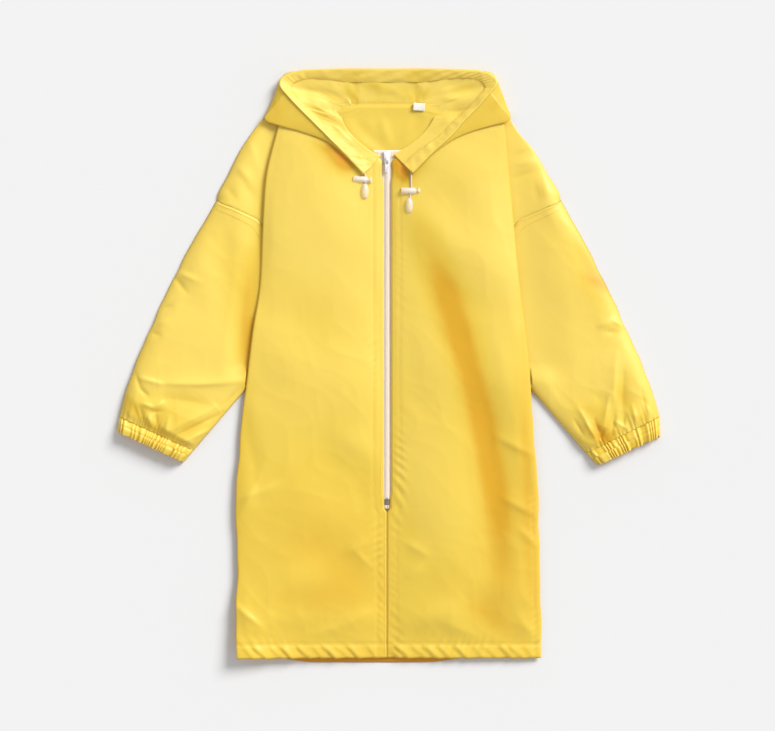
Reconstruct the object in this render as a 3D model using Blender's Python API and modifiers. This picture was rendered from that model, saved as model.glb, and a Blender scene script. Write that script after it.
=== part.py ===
"""A child's hooded raincoat in thin coated nylon, laid out flat on its back with the hood open.

Frame: metres, +Z up, origin on the ground under the middle of the coat. +Y runs from the hem to the hood,
and "left" is the -X side as seen from above. Each cloth piece is a wall of one thickness on a lofted sheet.
The coat lies in layers: back and sleeve undersides on the ground, fronts over them with a pleat that laps
each sleeve, and the hood's face edge standing over the fronts.
"""

import math
from collections import namedtuple

import bmesh
import bpy
from mathutils import Matrix, Vector

MM = 0.001

# ---- driving dimensions, in millimetres ---------------------------------------------------------------

WALL = 1.0                 # cloth wall
SEAM_GAP = 0.3             # free space between neighbouring pieces
LAYER = WALL + SEAM_GAP    # height from one cloth layer's middle to the next one's
FOLD_LIFT = 2.2            # height between the two layers of a soft fold, middle to middle
FOLD_ROUND = 0.3           # how far a fold's corners stand in from its outermost line
FOLD_CORNER = 0.35         # and how far they stand off its two layers
FOLD_DEPTH = 1.1           # from a fold's outermost line to where its layers lie flat
GROUND_LAYER = WALL / 2    # middle of the layer that rests on the ground

HEM_Y = -378.3             # lower edge of the fronts
BACK_HEM_Y = -385.5        # lower edge of the back, which hangs a little lower
ARMPIT_Y = -24.7
SEAM_INNER_Y = 187.2       # where each drop-shoulder seam comes out from under the pleat
SEAM_OUTER_Y = 215.8       # where it reaches the outer edge
FRONT_TOP_Y = 320.0        # top of the fronts, under the hood
BACK_NECK_Y = 336.7        # seam between the back and the hood

ZIP_X = -2.6               # the zip's line lies a little left of the middle
ZIP_TOP_Y = 281.0
ZIP_BOTTOM_Y = -171.6
ZIP_OPENING = 6.2          # from the zip's line to each turned front edge
TAPE_HALF_WIDTH = 14.0
TAPE_TAIL = 14.0           # length of tape past the bottom of the coil
TAPE_TOP_SET_DOWN = 2.0
COIL_TOP_SET_DOWN = 4.0
COIL_WIDTH = 4.0
COIL_HEIGHT = 1.5

FRONT_EDGE_Z = 3.4         # middle of the front at its zip edge
FRONT_CROWN_Z = 4.7        # middle of the front half way across
SIDE_FOLD_Z = 3.9          # top layer at the side fold, below the armpit
PLEAT_FOLD_Z = 7.1         # top layer at the pleat's fold, above the armpit
SIDE_LIP = 7.0             # cloth that turns under at the side fold

SLEEVE_EDGE_Z = 2.7        # top layer at a sleeve's long edges
SLEEVE_PUFF = 1.5
EDGE_ROLL = 0.25           # lift of the ground layer where it rolls up into a long edge
CUFF_GATHERS = 17
CASING_DEPTH = 17.0        # turned band round the hood's face edge
CASING_CHANNEL = 5.4       # height of the channel that the drawcord runs in, at the hood's tips
CASING_DEPTHS = (2.0, 7.0, 12.0, CASING_DEPTH)
CASING_CLEARANCE = 0.35    # extra height of the casing over the curved face under it
LAP_CLEARANCE = 0.8        # extra height of the hood's under layer over the fronts

# Half widths of the body, from X 0 to the side fold below the armpit and to the pleat's fold above it.
# pleat is how far the cloth runs back under the fold.
Side = namedtuple("Side", "y left right pleat")
SIDES = [
    Side(-378.3, 197.4, 196.3, SIDE_LIP),
    Side(-249.6, 196.3, 195.0, SIDE_LIP),
    Side(-171.6, 198.9, 193.7, SIDE_LIP),
    Side(-109.2, 193.7, 188.5, SIDE_LIP),
    Side(-62.4, 189.8, 185.9, SIDE_LIP),
    Side(-24.7, 184.8, 183.3, 8.0),
    Side(43.0, 176.8, 177.0, 18.0),
    Side(112.0, 166.5, 168.3, 19.0),
    Side(187.2, 163.2, 161.4, 14.0),
    Side(239.0, 159.9, 156.6, 9.0),
    Side(320.0, 141.0, 148.8, 5.0),
]

# The drop-shoulder seam on each side, and above it the shoulder's outer edge.
Seam = namedtuple("Seam", "y left right")
SEAMS = [
    Seam(-24.7, 181.4, 180.0),
    Seam(43.0, 163.8, 164.0),
    Seam(112.0, 152.5, 154.3),
    Seam(160.0, 155.0, 153.0),
    Seam(187.2, 166.4, 165.0),
    Seam(202.0, 194.5, 196.0),
    Seam(215.8, 223.0, 222.6),
    Seam(249.6, 208.0, 205.4),
    Seam(280.8, 192.4, 187.0),
    Seam(306.0, 175.5, 166.0),
    Seam(320.0, 165.0, 157.5),
]

# Outer edge of each sleeve, from the drop-shoulder seam to the cuff.
Outer = namedtuple("Outer", "y left right")
SLEEVE_OUTERS = [
    Outer(-66.0, 350.2, 351.4),
    Outer(-31.2, 341.3, 341.2),
    Outer(46.8, 310.7, 308.6),
    Outer(140.4, 266.5, 264.2),
    Outer(215.8, 223.5, 223.1),
]

# The cuff seam's inner end and the two corners of the cuff's free edge.
Cuff = namedtuple("Cuff", "seam_x seam_y inner_x inner_y outer_x outer_y")
CUFFS = {
    "left": Cuff(253.5, -109.2, 266.5, -124.5, 352.3, -84.0),
    "right": Cuff(256.0, -113.0, 271.0, -128.5, 352.4, -90.0),
}

# Neck edge of each front, from the zip's line.
Neck = namedtuple("Neck", "y reach")
NECK_EDGE = [
    Neck(-400.0, ZIP_OPENING),
    Neck(268.0, ZIP_OPENING),
    Neck(275.0, 13.0),
    Neck(284.0, 27.0),
    Neck(294.0, 40.0),
    Neck(307.0, 54.0),
    Neck(320.0, 61.0),
]

# The hood in sections from each tip of its face edge to the strip seam: the face edge (rim), the neck seam,
# and the fold of the outer wall. lift is the height of the face edge.
Section = namedtuple("Section", "rim_x rim_y neck_x neck_y fold_x fold_y lift")
HOOD_LEFT = [
    Section(-32.5, 248.3, -11.7, 271.7, -33.5, 247.4, 13.0),
    Section(-53.3, 270.4, -29.9, 282.0, -54.5, 269.4, 13.6),
    Section(-76.7, 293.8, -44.0, 294.5, -80.0, 290.5, 14.2),
    Section(-97.5, 314.6, -56.0, 308.0, -114.4, 304.2, 14.8),
    Section(-118.3, 335.4, -62.5, 322.0, -139.1, 311.6, 15.2),
    Section(-132.6, 351.0, -64.5, 331.5, -159.9, 320.6, 14.6),
    Section(-140.4, 361.4, -62.5, 336.7, -153.0, 340.5, 13.4),
    Section(-140.9, 369.2, -59.0, 336.7, -146.0, 357.8, 12.2),
    Section(-134.4, 376.2, -55.0, 336.7, -136.6, 377.8, 11.0),
    Section(-115.7, 382.0, -51.0, 336.7, -116.4, 383.0, 10.2),
    Section(-83.2, 383.8, -47.5, 336.7, -83.4, 384.2, 9.6),
    Section(-44.2, 384.2, -44.2, 336.7, -44.2, 384.6, 9.2),
]
HOOD_RIGHT = [
    Section(29.9, 249.6, 6.5, 274.3, 30.8, 248.6, 13.0),
    Section(55.9, 275.6, 25.5, 285.0, 57.0, 274.6, 13.6),
    Section(80.6, 297.7, 41.5, 297.7, 84.5, 294.0, 14.2),
    Section(97.5, 317.2, 52.5, 310.7, 108.5, 304.8, 14.8),
    Section(115.7, 335.4, 60.0, 323.7, 132.6, 312.2, 15.2),
    Section(128.7, 351.0, 64.0, 333.0, 156.0, 320.6, 14.6),
    Section(138.2, 362.5, 63.0, 336.7, 151.4, 340.5, 13.4),
    Section(139.6, 369.2, 59.0, 336.7, 145.0, 357.8, 12.2),
    Section(132.8, 377.2, 54.0, 336.7, 135.4, 378.6, 11.0),
    Section(116.3, 382.2, 47.0, 336.7, 117.0, 383.2, 10.2),
    Section(82.0, 383.8, 40.5, 336.7, 82.2, 384.2, 9.6),
    Section(35.1, 384.2, 35.1, 336.7, 35.1, 384.6, 9.2),
]
HOOD_FRONT_SECTIONS = 6    # of each table, those whose neck end lies on a front

# Drawcord locks and beads, lying on the fronts below the hood's tips.
CORD_DIAMETER = 2.4
BARREL_RADIUS = 4.5
BARREL_LENGTH = 18.8
BORE_RADIUS = 2.8
BORE_DEPTH = 14.0
PLUNGER_RADIUS = 2.5
PLUNGER_LENGTH = 12.0
PLUNGER_HEAD_RADIUS = 3.9
PLUNGER_HEAD_LENGTH = 2.6
PLUNGER_TRAVEL = 3.0
HEAD_GAP = 0.4             # left between the plunger's head and the mouth when pressed in
MOUTH_CHAMFER = 0.8
BARREL_ROUNDING = 1.4
HEAD_ROUNDING = 1.2
BEAD_LENGTH = 20.0
BEAD_RADIUS = 5.0
Lock = namedtuple("Lock", "x y bead_x bead_y turn")
LOCKS = {
    "left": Lock(-46.8, 242.4, -31.2, 226.4, -4.0),
    "right": Lock(15.6, 226.8, 26.2, 208.0, 0.0),
}
# Each drawcord's free run: out of the casing at the hood's tip and down to its lock.
CordPoint = namedtuple("CordPoint", "x y z")
CORD_RUNS = {
    "left": [
        CordPoint(-47.4, 269.0, 10.0),
        CordPoint(-41.0, 262.4, 9.9),
        CordPoint(-35.4, 256.6, 9.9),
        CordPoint(-32.3, 252.2, 9.8),
        CordPoint(-31.2, 248.0, 9.7),
    ],
    "right": [
        CordPoint(47.0, 271.6, 10.2),
        CordPoint(40.2, 264.6, 10.0),
        CordPoint(33.0, 258.2, 9.9),
        CordPoint(29.4, 252.6, 9.7),
        CordPoint(28.7, 245.4, 9.2),
        CordPoint(28.8, 238.0, 8.9),
        CordPoint(28.9, 231.8, 8.8),
    ],
}
CORD_REST_Z = 9.4          # axis of the locks and beads, lying on the fronts

SLIDER_LENGTH = 17.0
SLIDER_WIDTH = 9.4
SLIDER_HEIGHT = 1.8
SLIDER_Y = 270.6
SLIDER_Z = FRONT_EDGE_Z + 2.2
BAIL_WIDTH = 1.6
BAIL_BAR = 1.0
BAIL_REACH = 2.5           # from the hinge line to each leg of the bail
BAIL_HEIGHT = 3.3
BAIL_SINK = 0.4            # how deep the bail's legs go into the slider
BAIL_OPENING = 2.0
SLIDER_TAPER = 0.62        # width at the slider's lower end, as a share of its width
PULL_LENGTH = 16.5
PULL_WIDTH = 6.4
PULL_TIP_WIDTH = 4.6
PULL_THICKNESS = 1.2
PULL_EYE_WIDTH = 3.4
PULL_EYE_LENGTH = 4.8
PULL_HOLE_RADIUS = 1.1
PULL_HOLE_SET_IN = 3.4     # from the pull's free end to its hole
HINGE_Y = 267.0
HINGE_Z = SLIDER_Z + SLIDER_HEIGHT / 2 + 1.0

STOP_WIDTH = 6.0
STOP_LENGTH = 8.5
STOP_HEIGHT = 1.8
LABEL_WIDTH = 15.0
LABEL_DEPTH = 10.0
LABEL_CENTRE = (39.0, 336.4)
LABEL_TURN = 4.0
LABEL_LIFT = 1.0           # extra height of the label over the neck seam

SIGNS = {"left": -1.0, "right": 1.0}


# ---- curves through the tables ------------------------------------------------------------------------

def read_table(table, column, y):
    """Value of a column at height y, on a smooth curve through the rows that never overshoots them."""
    ys = [row.y for row in table]
    values = [getattr(row, column) for row in table]
    if y <= ys[0]:
        return values[0]
    if y >= ys[-1]:
        return values[-1]
    slopes = [(values[i + 1] - values[i]) / (ys[i + 1] - ys[i]) for i in range(len(ys) - 1)]
    tangents = [slopes[0]]
    for before, after in zip(slopes, slopes[1:]):
        tangents.append(0.0 if before * after <= 0.0 else 2.0 * before * after / (before + after))
    tangents.append(slopes[-1])
    i = max(k for k in range(len(ys) - 1) if ys[k] <= y)
    span = ys[i + 1] - ys[i]
    t = (y - ys[i]) / span
    return (values[i] * (2 * t**3 - 3 * t**2 + 1) + values[i + 1] * (3 * t**2 - 2 * t**3)
            + span * (tangents[i] * (t**3 - 2 * t**2 + t) + tangents[i + 1] * (t**3 - t**2)))


def spread(start, end, steps):
    """Evenly spaced values from start to end, both included."""
    inner = [start + (end - start) * k / steps for k in range(1, steps)]
    return [start, *inner, end]


def ease(t):
    """0 to 1 with level ends."""
    t = min(max(t, 0.0), 1.0)
    return t * t * (3.0 - 2.0 * t)


# ---- building helpers ---------------------------------------------------------------------------------

def clear_scene():
    for old in list(bpy.data.objects):
        bpy.data.objects.remove(old, do_unlink=True)
    for old in list(bpy.data.meshes):
        bpy.data.meshes.remove(old)


def make_material(name, colour, roughness, metallic=0.0):
    material = bpy.data.materials.new(name)
    material.use_nodes = True
    shader = material.node_tree.nodes["Principled BSDF"]
    shader.inputs["Base Color"].default_value = (*colour, 1.0)
    shader.inputs["Roughness"].default_value = roughness
    shader.inputs["Metallic"].default_value = metallic
    return material


def add_object(name, data, material, collection):
    part = bpy.data.objects.new(name, data)
    collection.objects.link(part)
    data.materials.append(material)
    return part


def mesh_from(bm, name, unit=MM):
    """A bmesh in millimetres becomes a mesh in metres."""
    bmesh.ops.scale(bm, vec=(unit, unit, unit), verts=bm.verts)
    mesh = bpy.data.meshes.new(name)
    bm.to_mesh(mesh)
    bm.free()
    mesh.shade_smooth()
    return mesh


def loft(name, rings, material, collection, closed=False, wall=WALL, extra=()):
    """A cloth wall on a sheet through equal rows of points; extra rows of faces join points by index."""
    bm = bmesh.new()
    grid = [[bm.verts.new(point) for point in ring] for ring in rings]
    for lower, upper in zip(grid, grid[1:]):
        count = len(lower)
        last = count if closed else count - 1
        for k in range(last):
            n = (k + 1) % count
            bm.faces.new((lower[k], lower[n], upper[n], upper[k]))
    for first_row, columns in extra:
        previous = [grid[first_row + r][-1] for r in range(len(columns))]
        width = len(columns[0])
        for k in range(width):
            strip = [bm.verts.new(columns[r][k]) for r in range(len(columns))]
            for r in range(len(columns) - 1):
                bm.faces.new((previous[r], strip[r], strip[r + 1], previous[r + 1]))
            previous = strip
    part = add_object(name, mesh_from(bm, name), material, collection)
    solidify = part.modifiers.new("wall", "SOLIDIFY")
    solidify.thickness = wall * MM
    solidify.offset = 0.0
    solidify.use_even_offset = True
    solidify.use_rim = True
    return part


def add_bevel(part, width, segments=2):
    bevel = part.modifiers.new("edges", "BEVEL")
    bevel.width = width * MM
    bevel.segments = segments
    bevel.limit_method = "ANGLE"
    return bevel


def block(name, size, centre, material, collection, round_edge=0.0):
    """A box of the given size in millimetres, its edges rounded."""
    bm = bmesh.new()
    bmesh.ops.create_cube(bm, size=1.0)
    bmesh.ops.scale(bm, vec=size, verts=bm.verts)
    bmesh.ops.translate(bm, vec=centre, verts=bm.verts)
    part = add_object(name, mesh_from(bm, name), material, collection)
    part.data.shade_flat()
    if round_edge:
        add_bevel(part, round_edge)
    return part


def turned(name, profile, axis_turn, place, material, collection, steps=20):
    """A profile of (radius, height) rows, top to bottom, turned about Z and then laid in place."""
    bm = bmesh.new()
    ring = [bm.verts.new((radius, 0.0, height)) for radius, height in profile]
    for a, b in zip(ring, ring[1:]):
        bm.edges.new((a, b))
    part = add_object(name, mesh_from(bm, name), material, collection)
    screw = part.modifiers.new("turn", "SCREW")
    screw.steps = steps
    screw.render_steps = steps
    screw.use_merge_vertices = True
    screw.merge_threshold = 0.00001
    part.matrix_world = Matrix.Translation(Vector(place) * MM) @ axis_turn
    return part


def cut(part, cutter_mesh, name, cutters):
    """Takes a cutter out of a part with an exact Boolean."""
    cutter = bpy.data.objects.new(name, cutter_mesh)
    cutters.objects.link(cutter)
    cutter.hide_render = True
    cutter.display_type = "WIRE"
    boolean = part.modifiers.new(name, "BOOLEAN")
    boolean.operation = "DIFFERENCE"
    boolean.solver = "EXACT"
    boolean.object = cutter


# ---- the fronts and the back --------------------------------------------------------------------------

STOP_END_Y = ZIP_BOTTOM_Y - STOP_LENGTH - 4.0
CLOSING = 12.0             # length over which the fronts come together below the zip
PLEAT_RISE = 60.0          # length below the armpit over which the side fold rises to the pleat's height
SIDE_RISE = 40.0           # width over which a front rises or falls to its side fold
SIDE_RISE_START = 46.0     # and how far inside the fold that width starts
LOWER_LEVELS = sorted(spread(HEM_Y, ARMPIT_Y, 8) + [STOP_END_Y, STOP_END_Y - CLOSING])
SEAM_LEVELS = spread(ARMPIT_Y, SEAM_INNER_Y, 6) + spread(SEAM_INNER_Y, SEAM_OUTER_Y, 4)[1:]
SHOULDER_LEVELS = [232.0, 249.6, 262.0, 268.0, 275.0, 284.0, 294.0, 307.0, FRONT_TOP_Y]
FRONT_LEVELS = LOWER_LEVELS + SEAM_LEVELS[1:] + SHOULDER_LEVELS
ACROSS = (0.0, 0.1, 0.24, 0.4, 0.56, 0.72, 0.86, 1.0)


def front_edge(side, y):
    """Distance from X 0 to the front's inner edge: beside the zip, closed below it, then round the neck."""
    sign = SIGNS[side]
    reach = read_table(NECK_EDGE, "reach", y)
    closing = ease((STOP_END_Y - y) / CLOSING)
    reach = reach * (1.0 - closing) + SEAM_GAP / 2 * closing
    return reach + sign * ZIP_X


def fold_height(y):
    """Top layer's height at the side fold, and at the pleat's fold above the armpit."""
    return SIDE_FOLD_Z + (PLEAT_FOLD_Z - SIDE_FOLD_Z) * ease((y - ARMPIT_Y + PLEAT_RISE) / PLEAT_RISE)


def front_height(side, y, reach):
    """Middle of the front at a distance from X 0, as it lies over the layers under it."""
    inner = front_edge(side, y)
    fold = read_table(SIDES, side, y)
    across = min(max((reach - inner) / (fold - inner), 0.0), 1.0)
    crown = (FRONT_CROWN_Z - FRONT_EDGE_Z) * math.sin(math.pi * min(across, 0.5))
    rise = (fold_height(y) - FRONT_CROWN_Z) * ease((reach - fold + SIDE_RISE_START) / SIDE_RISE)
    return FRONT_EDGE_Z + crown + rise


def make_front(side, material, collection):
    sign = SIGNS[side]
    rows = []
    shoulders = []
    for y in FRONT_LEVELS:
        inner = front_edge(side, y)
        fold = read_table(SIDES, side, y)
        top = fold_height(y)
        under = top - FOLD_LIFT
        lip_end = fold - read_table(SIDES, "pleat", y)
        turn_start = fold - FOLD_LIFT / 2
        row = []
        for share in ACROSS:
            reach = inner + (turn_start - inner) * share
            row.append((reach, front_height(side, y, reach) if share < 1.0 else top))
        row.append((fold - FOLD_ROUND, top - FOLD_CORNER))
        row.append((fold, top - FOLD_LIFT / 2))
        row.append((fold - FOLD_ROUND, under + FOLD_CORNER))
        row.append((turn_start, under))
        row.append((lip_end + FOLD_DEPTH, under))
        rows.append([(sign * x, y, z) for x, z in row])
        if y < ARMPIT_Y:
            continue
        seam = read_table(SEAMS, side, y)
        low = under - FOLD_LIFT
        strip = [
            (lip_end + FOLD_ROUND, under - FOLD_CORNER),
            (lip_end, under - FOLD_LIFT / 2),
            (lip_end + FOLD_ROUND, low + FOLD_CORNER),
            (lip_end + FOLD_DEPTH, low),
        ]
        start = lip_end + FOLD_DEPTH
        for share in (0.33, 0.67, 1.0):
            strip.append((start + (seam - start) * share, low))
        shoulders.append([(sign * x, y, z) for x, z in strip])
    return loft("front_" + side, rows, material, collection,
                extra=[(FRONT_LEVELS.index(ARMPIT_Y), shoulders)])


def back_reach(side, y):
    """Distance from X 0 to the back's edge: just inside the side fold, then the armhole and shoulder."""
    if y < ARMPIT_Y:
        inset = 1.0 + 3.0 * ease((y - ARMPIT_Y + 30.0) / 30.0)
        return read_table(SIDES, side, y) - inset
    return read_table(SEAMS, side, y) - SEAM_GAP


def make_back(material, collection):
    rows = []
    hem_rows = [(BACK_HEM_Y, 160.0), (BACK_HEM_Y + 3.0, 181.0), (HEM_Y + 5.0, 194.5)]
    for y, reach in hem_rows:
        rows.append([(reach * s, y, GROUND_LAYER) for s in spread(-1.0, 1.0, 6)])
    for y in LOWER_LEVELS[1:] + SEAM_LEVELS[1:] + SHOULDER_LEVELS:
        left = -back_reach("left", y)
        right = back_reach("right", y)
        rows.append([(left + (right - left) * s, y, GROUND_LAYER) for s in spread(0.0, 1.0, 6)])
    for y, reach in ((329.0, 124.0), (BACK_NECK_Y, 72.0)):
        rows.append([(reach * s, y, GROUND_LAYER) for s in spread(-1.0, 1.0, 6)])
    return loft("back_panel", rows, material, collection)


# ---- sleeves and cuffs --------------------------------------------------------------------------------

SLEEVE_STATIONS = (0.0, 0.07, 0.15, 0.26, 0.4, 0.55, 0.7, 0.85, 1.0)


def flat_tube(edge, height_at, thickness_edge=FOLD_LIFT):
    """A closed ring of points along a line of (x, y), over the top and back along the ground."""
    top = []
    bottom = []
    for k, (x, y) in enumerate(edge):
        top.append((x, y, height_at(k)))
        at_end = k in (0, len(edge) - 1)
        bottom.append((x, y, GROUND_LAYER + (EDGE_ROLL if at_end else 0.0)))
    start = Vector(edge[0])
    end = Vector(edge[-1])
    out_start = (start - Vector(edge[1])).normalized() * thickness_edge / 2
    out_end = (end - Vector(edge[-2])).normalized() * thickness_edge / 2
    middle = GROUND_LAYER + thickness_edge / 2
    nose_end = (end.x + out_end.x, end.y + out_end.y, middle)
    nose_start = (start.x + out_start.x, start.y + out_start.y, middle)
    return top + [nose_end] + bottom[::-1] + [nose_start]


def sleeve_edge(side, station):
    """The sleeve's line of points across it at a station from the armhole (0) to the cuff seam (1)."""
    sign = SIGNS[side]
    seam = [Vector((sign * read_table(SEAMS, side, y), y)) for y in SEAM_LEVELS]
    lengths = [0.0]
    for a, b in zip(seam, seam[1:]):
        lengths.append(lengths[-1] + (b - a).length)
    cuff = CUFFS[side]
    under_start = seam[0]
    under_end = Vector((sign * cuff.seam_x, cuff.seam_y))
    outer_end_y = SLEEVE_OUTERS[0].y
    outer_y = SEAM_OUTER_Y + (outer_end_y - SEAM_OUTER_Y) * station
    outer = Vector((sign * read_table(SLEEVE_OUTERS, side, outer_y), outer_y))
    under = under_start.lerp(under_end, station)
    fade = (1.0 - station) ** 3
    line = []
    for point, length in zip(seam, lengths):
        share = length / lengths[-1]
        straight_seam = seam[0].lerp(seam[-1], share)
        line.append(under.lerp(outer, share) + (point - straight_seam) * fade)
    return line


def make_sleeve(side, material, collection):
    rings = []
    lines = [sleeve_edge(side, station) for station in SLEEVE_STATIONS]
    seam_line = []
    for point, following in zip(lines[0], lines[1]):
        seam_line.append(point + (following - point).normalized() * 2 * SEAM_GAP)
    lines[0] = seam_line
    for station, line in zip(SLEEVE_STATIONS, lines):
        ramp = ease((station - 0.1) / 0.3) * ease((1.0 - station) / 0.2)
        count = len(line) - 1

        def height(k, ramp=ramp, count=count):
            return SLEEVE_EDGE_Z + SLEEVE_PUFF * ramp * math.sin(math.pi * k / count)

        rings.append(flat_tube(line, height))
    if side == "right":
        rings = [ring[::-1] for ring in rings]
    return loft("sleeve_" + side, rings, material, collection, closed=True)


def make_cuff(side, material, collection):
    """An elastic cuff: the band waves in and out of line, once for each gather."""
    sign = SIGNS[side]
    cuff = CUFFS[side]
    seam = sleeve_edge(side, 1.0)
    seam_inner, seam_outer = seam[0], seam[-1]
    free_inner = Vector((sign * cuff.inner_x, cuff.inner_y))
    free_outer = Vector((sign * cuff.outer_x, cuff.outer_y))
    down = ((free_inner + free_outer) - (seam_inner + seam_outer)).normalized()
    points = CUFF_GATHERS * 2
    rings = []
    for depth in (0.0, 0.4, 1.0):
        shift = down * 2 * SEAM_GAP * (1.0 - depth)
        inner = seam_inner.lerp(free_inner, depth) + shift
        outer = seam_outer.lerp(free_outer, depth) + shift
        wave = min(depth * 2.0, 1.0)
        line = []
        for k in range(points + 1):
            ripple = down * (0.9 * depth * (k % 2))
            line.append(inner.lerp(outer, k / points) + ripple)

        def height(k, wave=wave):
            return SLEEVE_EDGE_Z + 0.9 * wave * (k % 2)

        rings.append(flat_tube(line, height))
    if side == "right":
        rings = [ring[::-1] for ring in rings]
    return loft("cuff_" + side, rings, material, collection, closed=True)


# ---- hood ---------------------------------------------------------------------------------------------

def ground_under(x, y):
    """Height of the highest cloth layer's middle under the hood at a place."""
    side = "left" if x < 0.0 else "right"
    reach = abs(x)
    on_front = (y <= FRONT_TOP_Y and reach >= front_edge(side, y)
                and reach <= read_table(SEAMS, side, y))
    if not on_front:
        return GROUND_LAYER
    return front_height(side, y, min(reach, read_table(SIDES, side, y)))


def hood_inner(section, share, lap):
    """A point of the hood's inner face, from the neck seam (share 0) to the face edge (share 1)."""
    x = section.neck_x + (section.rim_x - section.neck_x) * share
    y = section.neck_y + (section.rim_y - section.neck_y) * share
    start = ground_under(section.neck_x, section.neck_y - (0.0 if lap else 1.0)) + LAYER
    start = max(start, FRONT_CROWN_Z + LAYER) if lap else start
    z = start + (section.lift - start) * (0.35 * share + 0.65 * share**2.2)
    return Vector((x, y, max(z, ground_under(x, y) + LAYER + 0.2)))


def hood_row(section, lap):
    """One section of the hood: neck seam, inner face, face edge, outer wall and the cloth turned under."""
    row = [hood_inner(section, share, lap) for share in (0.0, 0.2, 0.4, 0.6, 0.8, 0.93)]
    rim = Vector((section.rim_x, section.rim_y, section.lift))
    neck = Vector((section.neck_x, section.neck_y, section.lift))
    inward = (neck - rim).normalized()
    fold = Vector((section.fold_x, section.fold_y, 0.0))
    fold_in = Vector((fold.x, fold.y, 0.0)) + inward * 2.6
    floor = max(ground_under(fold.x, fold.y), ground_under(fold_in.x, fold_in.y))
    low = GROUND_LAYER
    if lap:
        low = floor + LAYER + LAP_CLEARANCE
        if (rim - Vector((fold.x, fold.y, rim.z))).length < CASING_CHANNEL:
            low = max(low, section.lift - CASING_CHANNEL)
    row.append(rim)
    row.append(Vector((rim.x, rim.y, rim.z)) - inward * 0.7 - Vector((0.0, 0.0, 0.9)))
    row.append(Vector((fold.x, fold.y, low + (section.lift - low) * 0.45)) - inward * 0.4)
    row.append(Vector((fold.x, fold.y, low + 0.8)))
    row.append(Vector((fold.x, fold.y, low)) + inward * 1.2)
    row.append(Vector((fold.x, fold.y, low)) + inward * 11.0)
    return row


def make_hood_side(side, sections, material, collection):
    rows = [hood_row(s, k < HOOD_FRONT_SECTIONS) for k, s in enumerate(sections)]
    if side == "left":
        rows = [row[::-1] for row in rows]
    return loft("hood_" + side, rows, material, collection)


def make_hood_centre(material, collection):
    left = HOOD_LEFT[-1]
    right = HOOD_RIGHT[-1]
    rows = []
    for x in spread(left.rim_x + 2 * SEAM_GAP + WALL / 2, right.rim_x - 2 * SEAM_GAP - WALL / 2, 4):
        section = Section(x, left.rim_y, x, left.neck_y, x, left.fold_y, left.lift)
        rows.append(hood_row(section, False)[::-1])
    return loft("hood_centre", rows, material, collection)


def make_casing(material, collection):
    """The drawcord casing: a band on the inner face, round the whole face edge."""
    rows = []
    sections = [(s, k < HOOD_FRONT_SECTIONS) for k, s in enumerate(HOOD_LEFT)]
    sections += [(s, k < HOOD_FRONT_SECTIONS) for k, s in reversed(list(enumerate(HOOD_RIGHT)))]
    for section, lap in sections:
        across = Vector((section.neck_x - section.rim_x, section.neck_y - section.rim_y)).length
        row = []
        for depth in CASING_DEPTHS:
            point = hood_inner(section, 1.0 - depth / across, lap)
            row.append(point + Vector((0.0, 0.0, LAYER + CASING_CLEARANCE)))
        rows.append(row)
    return loft("hood_casing", rows, material, collection)


# ---- zip ----------------------------------------------------------------------------------------------

def make_zip(cloth, plastic, metal, collection, cutters):
    tape_z = FRONT_EDGE_Z - LAYER
    tape_bottom = ZIP_BOTTOM_Y - TAPE_TAIL
    for side, sign in SIGNS.items():
        rows = []
        for y in spread(tape_bottom, ZIP_TOP_Y - TAPE_TOP_SET_DOWN, 6):
            inner = ZIP_X + sign * SEAM_GAP / 2
            outer = ZIP_X + sign * TAPE_HALF_WIDTH
            edge = (inner, outer) if sign > 0 else (outer, inner)
            rows.append([(edge[0] + (edge[1] - edge[0]) * s, y, tape_z) for s in (0.0, 0.5, 1.0)])
        loft("zip_tape_" + side, rows, cloth, collection)
    coil_z = tape_z + WALL / 2 + SEAM_GAP + COIL_HEIGHT / 2
    coil_length = ZIP_TOP_Y - COIL_TOP_SET_DOWN - ZIP_BOTTOM_Y
    block("zip_coil", (COIL_WIDTH, coil_length, COIL_HEIGHT),
          (ZIP_X, ZIP_BOTTOM_Y + coil_length / 2, coil_z), cloth, collection, 0.5)
    stop_z = tape_z + WALL / 2 + SEAM_GAP + STOP_HEIGHT / 2
    block("zip_bottom_stop", (STOP_WIDTH, STOP_LENGTH, STOP_HEIGHT),
          (ZIP_X, ZIP_BOTTOM_Y - SEAM_GAP - STOP_LENGTH / 2, stop_z), metal, collection, 0.5)
    make_slider(plastic, collection, cutters)
    make_pull(plastic, collection, cutters)


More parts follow.
